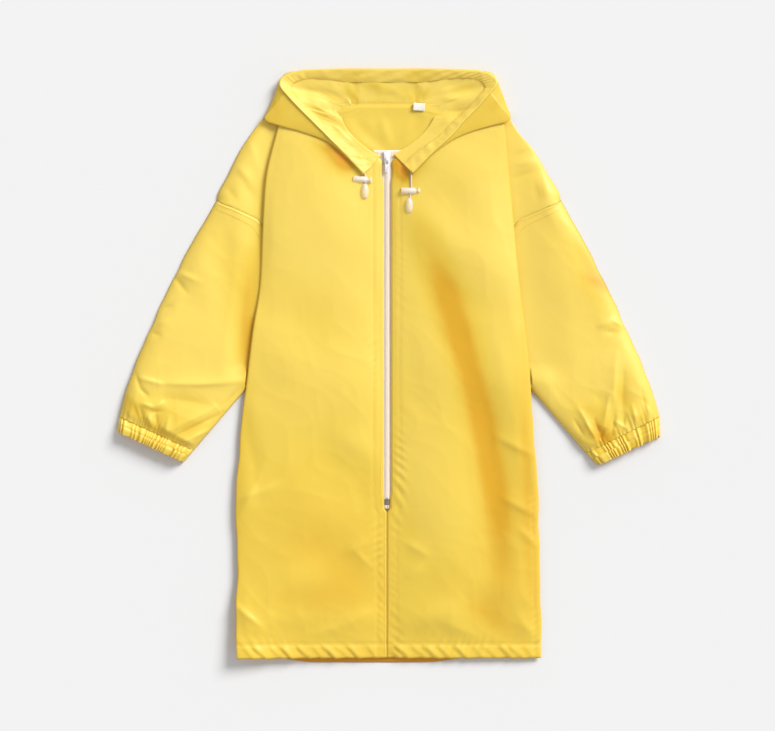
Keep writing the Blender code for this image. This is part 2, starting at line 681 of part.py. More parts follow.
def make_slider(material, collection, cutters):
    """A slider: a tapered body with a bail over the hinge line, cut from one block."""
    bm = bmesh.new()
    bmesh.ops.create_cube(bm, size=1.0)
    bmesh.ops.scale(bm, vec=(SLIDER_WIDTH, SLIDER_LENGTH, SLIDER_HEIGHT), verts=bm.verts)
    for vert in bm.verts:
        if vert.co.y < 0.0:
            vert.co.x *= SLIDER_TAPER
    bmesh.ops.translate(bm, vec=(ZIP_X, SLIDER_Y, SLIDER_Z), verts=bm.verts)
    body = add_object("zip_slider", mesh_from(bm, "zip_slider"), material, collection)
    add_bevel(body, 0.6)
    bail_length = 2 * (BAIL_REACH + BAIL_BAR)
    bail = bmesh.new()
    bmesh.ops.create_cube(bail, size=1.0)
    bmesh.ops.scale(bail, vec=(BAIL_WIDTH, bail_length, BAIL_HEIGHT), verts=bail.verts)
    bail_z = SLIDER_Z + SLIDER_HEIGHT / 2 - BAIL_SINK + BAIL_HEIGHT / 2
    bmesh.ops.translate(bail, vec=(ZIP_X, HINGE_Y, bail_z), verts=bail.verts)
    join = bpy.data.objects.new("bail_block", mesh_from(bail, "bail_block"))
    cutters.objects.link(join)
    join.hide_render = True
    join.display_type = "WIRE"
    union = body.modifiers.new("bail", "BOOLEAN")
    union.operation = "UNION"
    union.solver = "EXACT"
    union.object = join
    opening = bmesh.new()
    bmesh.ops.create_cube(opening, size=1.0)
    bmesh.ops.scale(opening, vec=(BAIL_WIDTH * 3, 2 * BAIL_REACH, BAIL_OPENING), verts=opening.verts)
    bmesh.ops.translate(opening, vec=(ZIP_X, HINGE_Y, HINGE_Z), verts=opening.verts)
    cut(body, mesh_from(opening, "bail_opening"), "bail_opening", cutters)


def make_pull(material, collection, cutters):
    """The pull tab, on the hinge line: a tapered plate with an eye round the bail and a small hole."""
    pivot = bpy.data.objects.new("pull_hinge", None)
    collection.objects.link(pivot)
    pivot.location = Vector((ZIP_X, HINGE_Y, HINGE_Z)) * MM
    half_bar = PULL_THICKNESS / 2
    bm = bmesh.new()
    bmesh.ops.create_cube(bm, size=1.0)
    bmesh.ops.scale(bm, vec=(PULL_WIDTH, PULL_LENGTH, PULL_THICKNESS), verts=bm.verts)
    for vert in bm.verts:
        if vert.co.y < 0.0:
            vert.co.x *= PULL_TIP_WIDTH / PULL_WIDTH
    bmesh.ops.translate(bm, vec=(0.0, half_bar - PULL_LENGTH / 2, 0.0), verts=bm.verts)
    pull = add_object("zip_pull", mesh_from(bm, "zip_pull"), material, collection)
    pull.parent = pivot
    add_bevel(pull, 0.4)
    eye = bmesh.new()
    bmesh.ops.create_cube(eye, size=1.0)
    bmesh.ops.scale(eye, vec=(PULL_EYE_WIDTH, PULL_EYE_LENGTH, PULL_THICKNESS * 3), verts=eye.verts)
    bmesh.ops.translate(eye, vec=(ZIP_X, HINGE_Y - half_bar - PULL_EYE_LENGTH / 2, HINGE_Z), verts=eye.verts)
    cut(pull, mesh_from(eye, "pull_eye"), "pull_eye", cutters)
    hole = bmesh.new()
    bmesh.ops.create_cone(hole, cap_ends=True, segments=16, radius1=PULL_HOLE_RADIUS,
                          radius2=PULL_HOLE_RADIUS, depth=PULL_THICKNESS * 3)
    bmesh.ops.translate(hole, vec=(ZIP_X, HINGE_Y - PULL_LENGTH + PULL_HOLE_SET_IN, HINGE_Z), verts=hole.verts)
    cut(pull, mesh_from(hole, "pull_hole"), "pull_hole", cutters)


# ---- drawcords, locks and beads -----------------------------------------------------------------------

def catmull(points, steps):
    """A smooth curve through points, with steps pieces between each pair."""
    ends = [points[0] * 2 - points[1]] + points + [points[-1] * 2 - points[-2]]
    curve = []
    for k in range(1, len(ends) - 2):
        a, b, c, d = ends[k - 1:k + 3]
        for s in range(steps):
            t = s / steps
            curve.append(0.5 * (2 * b + (c - a) * t + (2 * a - 5 * b + 4 * c - d) * t**2
                                + (3 * b - a - 3 * c + d) * t**3))
    curve.append(points[-1])
    return curve


def make_cord(name, route, material, collection):
    """A round cord with closed ends along a smooth curve through its route."""
    curve = bpy.data.curves.new(name, "CURVE")
    curve.dimensions = "3D"
    curve.bevel_depth = CORD_DIAMETER / 2 * MM
    curve.bevel_resolution = 2
    curve.use_fill_caps = True
    spline = curve.splines.new("POLY")
    spline.points.add(len(route) - 1)
    for slot, point in zip(spline.points, route):
        slot.co = (*(point * MM), 1.0)
    return add_object(name, curve, material, collection)


def arc_profile(radius, height, length, rounding, steps=3):
    """Rows of (radius, height) round a cylinder's end, from its axis out to its wall."""
    rows = [(0.0, height)]
    for k in range(steps + 1):
        angle = math.pi / 2 * k / steps
        rows.append((radius - rounding + rounding * math.sin(angle),
                     height - (rounding - rounding * math.cos(angle)) * length))
    return rows


def make_lock(side, plastic, collection):
    """A cord lock lying across the cord: a bored barrel and the plunger that slides in it."""
    lock = LOCKS[side]
    lay = Matrix.Rotation(math.radians(lock.turn), 4, "Z") @ Matrix.Rotation(math.pi / 2, 4, "Y")
    mouth = BARREL_LENGTH
    barrel = [(0.0, mouth - BORE_DEPTH), (BORE_RADIUS, mouth - BORE_DEPTH), (BORE_RADIUS, mouth)]
    barrel += [(BARREL_RADIUS - MOUTH_CHAMFER, mouth), (BARREL_RADIUS, mouth - MOUTH_CHAMFER)]
    barrel += [(r, -h) for r, h in reversed(arc_profile(BARREL_RADIUS, 0.0, 1.0, BARREL_ROUNDING))]
    place = (lock.x, lock.y, CORD_REST_Z)
    turned("cord_lock_barrel_" + side, barrel, lay, place, plastic, collection)
    stem_start = mouth - PLUNGER_LENGTH + PLUNGER_TRAVEL + HEAD_GAP
    head_start = mouth + PLUNGER_TRAVEL + HEAD_GAP
    head_end = head_start + PLUNGER_HEAD_LENGTH
    plunger = arc_profile(PLUNGER_HEAD_RADIUS, head_end, 1.0, HEAD_ROUNDING)
    plunger += [(PLUNGER_HEAD_RADIUS, head_start), (PLUNGER_RADIUS, head_start)]
    plunger += [(PLUNGER_RADIUS, stem_start), (0.0, stem_start)]
    turned("cord_lock_plunger_" + side, plunger, lay, place, plastic, collection)


def make_bead(side, plastic, collection):
    """An oval bead with its long axis along the coat."""
    lock = LOCKS[side]
    steps = 10
    profile = []
    for k in range(steps + 1):
        angle = math.pi * k / steps
        profile.append((BEAD_RADIUS * math.sin(angle) ** 0.8 if 0 < k < steps else 0.0,
                        BEAD_LENGTH / 2 * math.cos(angle)))
    lay = Matrix.Rotation(-math.pi / 2, 4, "X")
    turned("cord_bead_" + side, profile, lay, (lock.bead_x, lock.bead_y, CORD_REST_Z + BEAD_RADIUS - BARREL_RADIUS),
           plastic, collection, 16)


def make_drawcords(cord, plastic, collection):
    for side in SIGNS:
        route = catmull([Vector(point) for point in CORD_RUNS[side]], 2)
        make_cord("drawcord_" + side, route, cord, collection)
        make_lock(side, plastic, collection)
        make_bead(side, plastic, collection)


def make_label(material, collection):
    """A blank label lying over the back neck seam."""
    bm = bmesh.new()
    bmesh.ops.create_cube(bm, size=1.0)
    bmesh.ops.scale(bm, vec=(LABEL_WIDTH, LABEL_DEPTH, WALL), verts=bm.verts)
    bmesh.ops.rotate(bm, matrix=Matrix.Rotation(math.radians(-LABEL_TURN), 3, "Z"), verts=bm.verts)
    bmesh.ops.translate(bm, vec=(*LABEL_CENTRE, GROUND_LAYER + 2 * LAYER + LABEL_LIFT), verts=bm.verts)
    part = add_object("neck_label", mesh_from(bm, "neck_label"), material, collection)
    part.data.shade_flat()


def main():
    clear_scene()
    collection = bpy.data.collections.new("kids_raincoat")
    cutters = bpy.data.collections.new("cutters")
    bpy.context.scene.collection.children.link(collection)
    bpy.context.scene.collection.children.link(cutters)
    nylon = make_material("coated_nylon", (0.93, 0.72, 0.12), 0.42)
    tape = make_material("zip_tape", (0.86, 0.82, 0.78), 0.7)
    label = make_material("label_tape", (0.9, 0.9, 0.88), 0.75)
    cord = make_material("drawcord", (0.85, 0.76, 0.68), 0.7)
    plastic = make_material("milky_plastic", (0.84, 0.78, 0.68), 0.3)
    enamel = make_material("white_enamel", (0.85, 0.82, 0.8), 0.35)
    steel = make_material("dark_steel", (0.25, 0.23, 0.22), 0.35, 1.0)

    make_back(nylon, collection)
    for side in SIGNS:
        make_front(side, nylon, collection)
        make_sleeve(side, nylon, collection)
        make_cuff(side, nylon, collection)
    make_hood_side("left", HOOD_LEFT, nylon, collection)
    make_hood_centre(nylon, collection)
    make_hood_side("right", HOOD_RIGHT, nylon, collection)
    make_casing(nylon, collection)
    make_label(label, collection)
    make_zip(tape, enamel, steel, collection, cutters)
    make_drawcords(cord, plastic, collection)
    bpy.context.view_layer.update()


main()
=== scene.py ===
"""A child's hooded raincoat in thin coated nylon, laid out flat and seen from above: its looks.

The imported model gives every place. Lengths of the coat's own form are in millimetres in the frame's axes
(+X right, +Y from hem to hood, +Z up off the ground) and become metres when a mesh is made.
"""

from __future__ import annotations

import logging
import math
from dataclasses import dataclass, field
from enum import Enum
from typing import Callable, Sequence

import bmesh
import bpy
import numpy as np
from mathutils import Matrix, Vector

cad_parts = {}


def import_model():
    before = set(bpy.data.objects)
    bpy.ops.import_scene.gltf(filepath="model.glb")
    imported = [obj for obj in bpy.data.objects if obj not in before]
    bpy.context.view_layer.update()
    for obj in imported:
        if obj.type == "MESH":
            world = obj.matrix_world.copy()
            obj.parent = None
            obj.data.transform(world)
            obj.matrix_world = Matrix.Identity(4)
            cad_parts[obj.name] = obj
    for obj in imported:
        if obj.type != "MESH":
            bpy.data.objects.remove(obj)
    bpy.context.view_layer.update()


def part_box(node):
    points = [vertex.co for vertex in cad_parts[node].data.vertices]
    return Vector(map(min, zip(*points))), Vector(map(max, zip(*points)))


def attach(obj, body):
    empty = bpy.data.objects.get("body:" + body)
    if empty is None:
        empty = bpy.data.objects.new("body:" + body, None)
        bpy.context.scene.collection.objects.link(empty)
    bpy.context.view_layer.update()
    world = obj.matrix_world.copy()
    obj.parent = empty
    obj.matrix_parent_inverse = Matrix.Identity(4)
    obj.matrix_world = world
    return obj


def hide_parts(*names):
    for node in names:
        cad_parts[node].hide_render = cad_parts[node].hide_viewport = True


LOG = logging.getLogger("raincoat")
MM = 0.001
COAT = "coat"
Array = np.ndarray


class Side(Enum):
    """A side of the coat as seen from above; the value is the sign of X."""

    LEFT = -1.0
    RIGHT = 1.0

    @property
    def word(self) -> str:
        """The side's name as nodes spell it."""
        return self.name.lower()


# ---- numbers along a curve ------------------------------------------------------------------------------


def ease(t: Array | float) -> Array | float:
    """0 to 1 with level ends."""
    t = np.clip(t, 0.0, 1.0)
    return t * t * (3.0 - 2.0 * t)


def dome(t: Array | float) -> Array | float:
    """0 to 1 as a quarter circle: steep where the cloth leaves its edge, level on top."""
    t = np.clip(t, 0.0, 1.0)
    return np.sqrt(1.0 - (1.0 - t) ** 2)


class Profile:
    """Named columns against a rising key, read on a smooth curve that never overshoots its rows."""

    def __init__(self, names: str, *rows: Sequence[float]) -> None:
        """Args: names: column names, the key first. rows: one row of numbers for each key."""
        table = np.array(rows, dtype=float)
        self.keys = table[:, 0]
        self.columns = {name: table[:, k] for k, name in enumerate(names.split())}

    def __call__(self, column: str, key: Array | float) -> Array:
        """Value of a column at a key.

        Args:
            column: the column's name.
            key: one number or an array of them.

        Returns:
            The values, in the key's shape.
        """
        x, y = self.keys, self.columns[column]
        slope = np.diff(y) / np.diff(x)
        product = slope[:-1] * slope[1:]
        total = slope[:-1] + slope[1:]
        inner = np.where(product > 0.0, 2.0 * product / np.where(total == 0.0, 1.0, total), 0.0)
        tangent = np.concatenate(([slope[0]], inner, [slope[-1]]))
        key = np.clip(key, x[0], x[-1])
        i = np.clip(np.searchsorted(x, key, side="right") - 1, 0, len(x) - 2)
        span = x[i + 1] - x[i]
        t = (key - x[i]) / span
        return (y[i] * (2 * t**3 - 3 * t**2 + 1) + y[i + 1] * (3 * t**2 - 2 * t**3)
                + span * (tangent[i] * (t**3 - 2 * t**2 + t) + tangent[i + 1] * (t**3 - t**2)))


def through(points: Array, t: Array) -> Array:
    """Catmull-Rom curve through points.

    Args:
        points: (count, ..., 3) control points.
        t: places from 0 to 1 along them.

    Returns:
        The points at t.
    """
    count = len(points)
    place = np.clip(t, 0.0, 1.0) * (count - 1)
    k = np.clip(np.floor(place).astype(int), 0, count - 2)
    s = (place - k)[..., None]
    lane = np.arange(len(k)) if points.ndim == 3 else None
    pick = (lambda i: points[i, lane]) if points.ndim == 3 else (lambda i: points[i])
    before, after = np.clip(k - 1, 0, count - 1), np.clip(k + 2, 0, count - 1)
    a, b, c, d = pick(before), pick(k), pick(k + 1), pick(after)
    return 0.5 * (2 * b + (c - a) * s + (2 * a - 5 * b + 4 * c - d) * s**2 + (3 * b - a - 3 * c + d) * s**3)


# ---- creases and puckers --------------------------------------------------------------------------------


@dataclass(frozen=True)
class Crease:
    """A soft ridge, or a trough where lift is negative, between two places on the coat.

    skew narrows the side to the left of its run, so that the fold has one steep side; bow bends it sideways.
    """

    x0: float
    y0: float
    x1: float
    y1: float
    width: float
    lift: float
    skew: float = 0.0
    bow: float = 0.0

    def height(self, x: Array, y: Array) -> Array:
        """How far the cloth stands up or down at each place."""
        run = np.array((self.x1 - self.x0, self.y1 - self.y0))
        length = float(np.hypot(*run))
        ux, uy = run / length
        along = ((x - self.x0) * ux + (y - self.y0) * uy) / length
        off = (y - self.y0) * ux - (x - self.x0) * uy
        inside = np.clip(along, 0.0, 1.0)
        off = off - self.bow * 4.0 * inside * (1.0 - inside)
        width = self.width * np.where(off > 0.0, 1.0 - self.skew, 1.0 + self.skew)
        past = np.maximum(np.abs(along - 0.5) - 0.5, 0.0) * length / self.width
        fade = np.sin(np.pi * (0.12 + 0.76 * inside)) ** 1.2
        tent = np.exp(-1.25 * (np.sqrt((off / width) ** 2 + 0.05) - 0.22))
        keen = min(max(1.7 - self.width / 12.0, 0.0), 1.0)
        profile = keen * tent + (1.0 - keen) * np.exp(-(off / width) ** 2)
        return self.lift * profile * np.exp(-past**2 * 2.0) * fade


def creases(*rows: tuple[float, ...]) -> list[Crease]:
    """Creases from rows of their values: both ends, width, lift, and skew and bow where they have them."""
    return [Crease(*row) for row in rows]


def relief(folds: Sequence[Crease], x: Array, y: Array) -> Array:
    """Sum of creases at each place."""
    total = np.zeros_like(x)
    for fold in folds:
        total = total + fold.height(x, y)
    return total


def swell(x: Array, y: Array, seed: float) -> Array:
    """Slow uneven swelling of loose cloth, about -1 to 1, from a few waves that don't repeat."""
    return (0.42 * np.sin(x / 31.0 + 1.7 * np.sin(y / 83.0 + seed) + seed)
            + 0.33 * np.sin(y / 43.0 + 1.4 * np.sin(x / 57.0 - seed) + 2.1 * seed)
            + 0.25 * np.sin((x + y) / 21.0 + 1.1 * np.sin((x - y) / 47.0) + 0.7 * seed))


def crackle(x: Array, y: Array, seed: float) -> Array:
    """Sharp little ridges of crumpled taffeta, 0 to 1, more in some places than in others."""
    u = x / 17.0 + 1.9 * np.sin(y / 29.0 + seed) + 0.8 * np.sin((x - y) / 19.0)
    v = y / 23.0 + 1.7 * np.sin(x / 25.0 - 2.0 * seed) + 0.9 * np.sin((x + y) / 15.0)
    w = (x + 0.8 * y) / 14.0 + 1.6 * np.sin((y - 0.6 * x) / 27.0 + 3.0 * seed)
    ridges = [(1.0 - np.abs(np.sin(angle))) ** 2 for angle in (u, v, w)]
    where = 0.5 + 0.5 * np.sin(x / 61.0 + seed) * np.sin(y / 73.0 + 1.3 * seed)
    return (ridges[0] + 0.8 * ridges[1] + 0.7 * ridges[2]) * (0.25 + 0.75 * where) / 1.8


def lapped(turns: Array) -> Array:
    """Little folds lying over each other, -1 to 1: each rises slowly and drops off short; turns counts them."""
    share = turns - np.floor(turns)
    return np.where(share < 0.8, share / 0.4 - 1.0, 1.0 - 2.0 * ease((share - 0.8) / 0.2))


def puckers(off: Array, along: Array, pitch: float, slant: float, reach: float, seed: float) -> Array:
    """Small uneven gathers beside a row of stitches, about -1 to 1.

    Args:
        off: distance from the stitches.
        along: distance along them.
        pitch: mean distance between gathers.
        slant: how far a gather leans along the row for each unit off it.
        reach: distance at which they have died out.
        seed: shifts the pattern.
    """
    warp = along + 0.42 * pitch * np.sin(along / (2.3 * pitch) + seed) + slant * off
    strength = 0.62 + 0.38 * np.sin(along / (3.7 * pitch) + 2.0 * seed)
    return np.sin(2 * np.pi * warp / pitch) * strength * np.exp(-(off / reach) ** 2)


# ---- mesh building --------------------------------------------------------------------------------------

Surface = Callable[[Array, Array], Array]
# The mesh number that deepens the cloth's colour: cloth lying double, and painted shade.
LAYERS_AND_PAINTED_SHADE = "layers"
WEAVE = "weave"
MEETING = 0.000002  # points nearer than this, in metres, are one


def grid_mesh(bm: bmesh.types.BMesh, columns: int, rows: int, surface: Surface,
              span: tuple[float, float] = (1.0, 1.0)) -> None:
    """Adds a grid and moves its points onto a surface.

    Args:
        bm: the mesh being built, in metres.
        columns: faces across.
        rows: faces along.
        surface: gives (x, y, z, tone) in millimetres for places across and along, each 0 to 1; tone deepens the
            cloth's colour where it lies double and where shade is painted.
        span: size of the cloth across and along in metres, for its UV map.
    """
    uv = bm.loops.layers.uv.get(WEAVE) or bm.loops.layers.uv.new(WEAVE)
    tone = bm.verts.layers.float.get(LAYERS_AND_PAINTED_SHADE) or bm.verts.layers.float.new(LAYERS_AND_PAINTED_SHADE)
    made = bmesh.ops.create_grid(bm, x_segments=columns, y_segments=rows, size=0.5)["verts"]
    place = np.array([(v.co.x + 0.5, v.co.y + 0.5) for v in made])
    found = surface(place[:, 0], place[:, 1])
    spot = {}
    for vert, (across, along), point in zip(made, place, found):
        vert.co = Vector(point[:3]) * MM
        vert[tone] = float(point[3])
        spot[vert] = (across * span[0], along * span[1])
    for face in {face for vert in made for face in vert.link_faces}:
        for loop in face.loops:
            loop[uv].uv = spot[loop.vert]


def make_object(bm: bmesh.types.BMesh, name: str, finish: "Finish", smooth: bool = True) -> bpy.types.Object:
    """Turns a bmesh into a scene object with a finish."""
    mesh = bpy.data.meshes.new(name)
    bm.to_mesh(mesh)
    bm.free()
    if smooth:
        mesh.shade_smooth()
    piece = bpy.data.objects.new(name, mesh)
    bpy.context.scene.collection.objects.link(piece)
    mesh.materials.append(finish.material())
    return piece


def give_wall(piece: bpy.types.Object, wall: float) -> None:
    """Gives a sheet its thickness, shared between its two faces."""
    solidify = piece.modifiers.new("wall", "SOLIDIFY")
    solidify.thickness = wall * MM
    solidify.offset = 0.0
    solidify.use_rim = True


def join_coat(piece: bpy.types.Object, slot: str, *nodes: str) -> bpy.types.Object:
    """Fixes a piece to the coat's body and hides the model's nodes that it stands for."""
    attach(piece, COAT)
    if nodes:
        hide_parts(*nodes)
    LOG.info("%s: %d faces", piece.name, len(piece.data.polygons) if piece.type == "MESH" else 0)
    return piece


def cloth_piece(bm: bmesh.types.BMesh, name: str, finish: "Finish", wall: float, slot: str,
                *nodes: str) -> bpy.types.Object:
    """Makes a sheet from its grids, with the faces turned one way.

    Args:
        bm: the grids.
        name: the piece's name.
        finish: its finish.
        wall: its thickness in millimetres.
        slot: not used.
        nodes: the model's nodes that it stands for.

    Returns:
        The piece, fixed to the coat.
    """
    bmesh.ops.recalc_face_normals(bm, faces=bm.faces)
    piece = make_object(bm, name, finish)
    give_wall(piece, wall)
    return join_coat(piece, slot, *nodes)


# ---- shader arithmetic ----------------------------------------------------------------------------------


class Wire:
    """A number coming out of a shader socket, on which Python's operators build Math nodes."""

    def __init__(self, board: "Board", socket: bpy.types.NodeSocket) -> None:
        """Args: board: the node tree it belongs to. socket: the output that carries it."""
        self.board = board
        self.socket = socket

    def __add__(self, other: "Wire | float") -> "Wire":
        """Sum."""
        return self.board.math("ADD", self, other)

    __radd__ = __add__

    def __sub__(self, other: "Wire | float") -> "Wire":
        """Difference."""
        return self.board.math("SUBTRACT", self, other)

    def __mul__(self, other: "Wire | float") -> "Wire":
        """Product."""
        return self.board.math("MULTIPLY", self, other)

    __rmul__ = __mul__

    def sine(self) -> "Wire":
        """Sine of the value in radians."""
        return self.board.math("SINE", self)

    def between(self, low: float, high: float) -> "Wire":
        """0 at low to 1 at high, eased and clamped."""
        made = self.board.node("ShaderNodeMapRange", {"interpolation_type": "SMOOTHSTEP"},
                               {"Value": self, "From Min": low, "From Max": high})
        return Wire(self.board, made.outputs["Result"])


class Board:
    """A material's node tree with its Principled shader."""

    def __init__(self, name: str) -> None:
        """Args: name: the material's name."""
        self.material = bpy.data.materials.new(name)
        self.material.use_nodes = True
        self.tree = self.material.node_tree
        self.shader = self.tree.nodes["Principled BSDF"]

    def node(self, kind: str, settings: dict[str, object], sockets: dict[str | int, object]) -> bpy.types.Node:
        """Adds a node.

        Args:
            kind: the node's type.
            settings: its properties, set before its sockets.
            sockets: values or wires for its inputs, by name or index.

        Returns:
            The node.
        """
        made = self.tree.nodes.new(kind)
        for key, value in settings.items():
            setattr(made, key, value)
        for key, value in sockets.items():
            self.plug(made.inputs[key], value)
        return made

    def plug(self, socket: bpy.types.NodeSocket, value: object) -> None:
        """Links a wire or socket to an input, or sets the input's value."""
        if isinstance(value, Wire):
            value = value.socket
        if isinstance(value, bpy.types.NodeSocket):
            self.tree.links.new(value, socket)
        else:
            socket.default_value = value

    def math(self, operation: str, *values: Wire | float) -> Wire:
        """A Math node on up to three values."""
        sockets = {k: value for k, value in enumerate(values)}
        return Wire(self, self.node("ShaderNodeMath", {"operation": operation}, sockets).outputs[0])

    def place(self) -> bpy.types.NodeSocket:
        """The place on the object, in metres."""
        return self.node("ShaderNodeTexCoord", {}, {}).outputs["Object"]

    def weave_place(self) -> bpy.types.NodeSocket:
        """The place on the cloth, in metres across and along it."""
        return self.node("ShaderNodeUVMap", {"uv_map": WEAVE}, {}).outputs["UV"]

    def split(self, vector: bpy.types.NodeSocket) -> tuple[Wire, Wire, Wire]:
        """A vector's three numbers."""
        parts = self.node("ShaderNodeSeparateXYZ", {}, {0: vector}).outputs
        return Wire(self, parts[0]), Wire(self, parts[1]), Wire(self, parts[2])

    def noise(self, vector: bpy.types.NodeSocket, scale: float, detail: float = 2.0,
              kind: str = "FBM") -> Wire:
        """Noise of a kind: cloudy, 0 to 1, or ridged."""
        made = self.node("ShaderNodeTexNoise", {"noise_type": kind},
                         {"Vector": vector, "Scale": scale, "Detail": detail})
        return Wire(self, made.outputs["Fac"])

    def attribute(self, name: str) -> Wire:
        """A number stored on the mesh."""
        return Wire(self, self.node("ShaderNodeAttribute", {"attribute_name": name}, {}).outputs["Fac"])

    def mix(self, share: Wire | float, a: object, b: object) -> bpy.types.NodeSocket:
        """A colour between two."""
        return self.node("ShaderNodeMix", {"data_type": "RGBA"}, {0: share, 6: a, 7: b}).outputs[2]

    def bump(self, height: Wire, distance: float, strength: float = 1.0,
             over: bpy.types.NodeSocket | None = None) -> bpy.types.NodeSocket:
        """A normal from a height in the given distance, on top of another bump if there is one."""
        sockets: dict[str | int, object] = {"Height": height, "Distance": distance, "Strength": strength}
        if over is not None:
            sockets["Normal"] = over
        return self.node("ShaderNodeBump", {}, sockets).outputs["Normal"]

    def set(self, **values: object) -> None:
        """Sets the shader's inputs; an underscore in a name stands for a space."""
        for key, value in values.items():
            self.plug(self.shader.inputs[key.replace("_", " ")], value)

    def let_light_through(self, colour: "Colour", share: float) -> None:
        """Mixes in light that passes through a thin wall."""
        through_wall = self.node("ShaderNodeBsdfTranslucent", {}, {"Color": colour})
        mixed = self.node("ShaderNodeMixShader", {},
                          {0: share, 1: self.shader.outputs["BSDF"], 2: through_wall.outputs["BSDF"]})
        self.plug(self.tree.nodes["Material Output"].inputs["Surface"], mixed.outputs["Shader"])


Colour = tuple[float, float, float, float]


class Finish:
    """Something that can give its material; each is made once."""

    made: dict[str, bpy.types.Material] = {}

    def material(self) -> bpy.types.Material:
        """The finish's material."""
        name = type(self).__name__
        if name not in Finish.made:
            board = Board(name)
            self.paint(board)
            Finish.made[name] = board.material
        return Finish.made[name]

    def paint(self, board: Board) -> None:
        """Lays the finish's nodes on a board."""
        raise NotImplementedError


@dataclass(frozen=True)
class CoatedNylon(Finish):
    """Thin yellow taffeta with a soft coating and a faint crinkle. Its colour deepens with the tone number, where the
    cloth lies double and where shade is painted, to an orange painted shadow at the deepest.
    """

    single: Colour = (0.97, 0.81, 0.16, 1.0)
    # Colour for light painted shade, such as the darkening towards the hem.
    near: Colour = (0.875, 0.70, 0.09, 1.0)
    # Colour of cloth lying double, and of painted shade in folds.
    double: Colour = (0.75, 0.455, 0.018, 1.0)
    # Colour of the deepest painted shadow, under the hood's flaps.
    deep: Colour = (0.93, 0.40, 0.03, 1.0)
    glow: Colour = (1.0, 0.72, 0.09, 1.0)
    glow_share: float = 0.38
    thread_pitch: float = 0.0006
    crinkle: float = 0.0015

    def paint(self, board: Board) -> None:
        """Lays the finish's nodes on a board."""
        place = board.place()
        across, along, _ = board.split(board.weave_place())
        cloud = board.noise(place, 9.0, 3.0)
        share = board.attribute(LAYERS_AND_PAINTED_SHADE) + (cloud - 0.5) * 0.22
        # The tone number mixes in painted shade, and deeper colour where the cloth lies double.
        colour = board.mix(share * 2.5, self.single, self.near)
        colour = board.mix(share.between(0.3, 1.15), colour, self.double)
        colour = board.mix(share.between(1.25, 2.2), colour, self.deep)
        fleck = board.noise(place, 900.0, 1.0)
        turn = 2 * math.pi / self.thread_pitch
        weave = (across * turn).sine() * (along * turn).sine()
        fine = board.bump(weave * 0.5 + fleck * 0.5, 0.00004, 0.5)
        crumple = board.noise(place, 21.0, 4.0, "RIDGED_MULTIFRACTAL") * 0.16
        small = board.noise(place, 75.0, 3.0, "RIDGED_MULTIFRACTAL") * 0.035
        board.set(Base_Color=colour, Roughness=0.36 + 0.12 * cloud,
                  Normal=board.bump(crumple + small, self.crinkle, 1.0, fine),
                  Specular_IOR_Level=0.5, Sheen_Weight=0.05, Sheen_Roughness=0.4)
        board.let_light_through(self.glow, self.glow_share)


@dataclass(frozen=True)
class SewingThread(Finish):
    """Twisted yellow polyester thread, painted lighter on the ridge of each twist."""

    colour: Colour = (0.92, 0.55, 0.07, 1.0)
    # Colour of the painted highlight on each twist's ridge.
    light: Colour = (1.0, 0.7, 0.2, 1.0)

    def paint(self, board: Board) -> None:
        """Lays the finish's nodes on a board."""
        x, y, _ = board.split(board.place())
        twist = ((x + y) * 14000.0).sine()
        colour = board.mix(twist.between(-1.0, 1.0) * 0.35, self.colour, self.light)
        board.set(Base_Color=colour, Roughness=0.6, Normal=board.bump(twist, 0.00005))


@dataclass(frozen=True)
class WovenTape(Finish):
    """White herringbone zip tape, painted darker in the hollows between its ribs."""

    colour: Colour = (0.90, 0.80, 0.68, 1.0)
    # Colour of the painted shade in the rib hollows.
    hollow: Colour = (0.78, 0.66, 0.54, 1.0)
    rib: float = 0.0011

    def paint(self, board: Board) -> None:
        """Lays the finish's nodes on a board."""
        x, y, _ = board.split(board.place())
        turn = 2 * math.pi / self.rib
        ribs = (y * turn + (x * turn * 0.5).sine() * 1.5).sine()
        colour = board.mix(ribs.between(-1.0, 1.0), self.hollow, self.colour)
        board.set(Base_Color=colour, Roughness=0.75, Normal=board.bump(ribs, 0.00012))


@dataclass(frozen=True)
class CoilNylon(Finish):
    """Smooth white nylon of the zip's teeth."""

    colour: Colour = (0.92, 0.83, 0.72, 1.0)
    shade: Colour = (0.88, 0.72, 0.70, 1.0)

    def paint(self, board: Board) -> None:
        """Lays the finish's nodes on a board."""
        cloud = board.noise(board.place(), 300.0)
        colour = board.mix(cloud * 0.4, self.colour, self.shade)
        board.set(Base_Color=colour, Roughness=0.34 + 0.1 * cloud)


@dataclass(frozen=True)
class LabelTape(Finish):
    """Blank white woven label with fine cross ribs, painted darker in their hollows."""

    colour: Colour = (0.82, 0.77, 0.66, 1.0)
    # Colour of the painted shade in the rib hollows.
    hollow: Colour = (0.72, 0.66, 0.54, 1.0)

    def paint(self, board: Board) -> None:
        """Lays the finish's nodes on a board."""
        across, along, _ = board.split(board.weave_place())
        ribs = (along * 12000.0).sine() * 0.6 + (across * 9000.0).sine() * 0.4
        colour = board.mix(ribs.between(-1.0, 1.0), self.hollow, self.colour)
        board.set(Base_Color=colour, Roughness=0.7, Normal=board.bump(ribs, 0.00006))


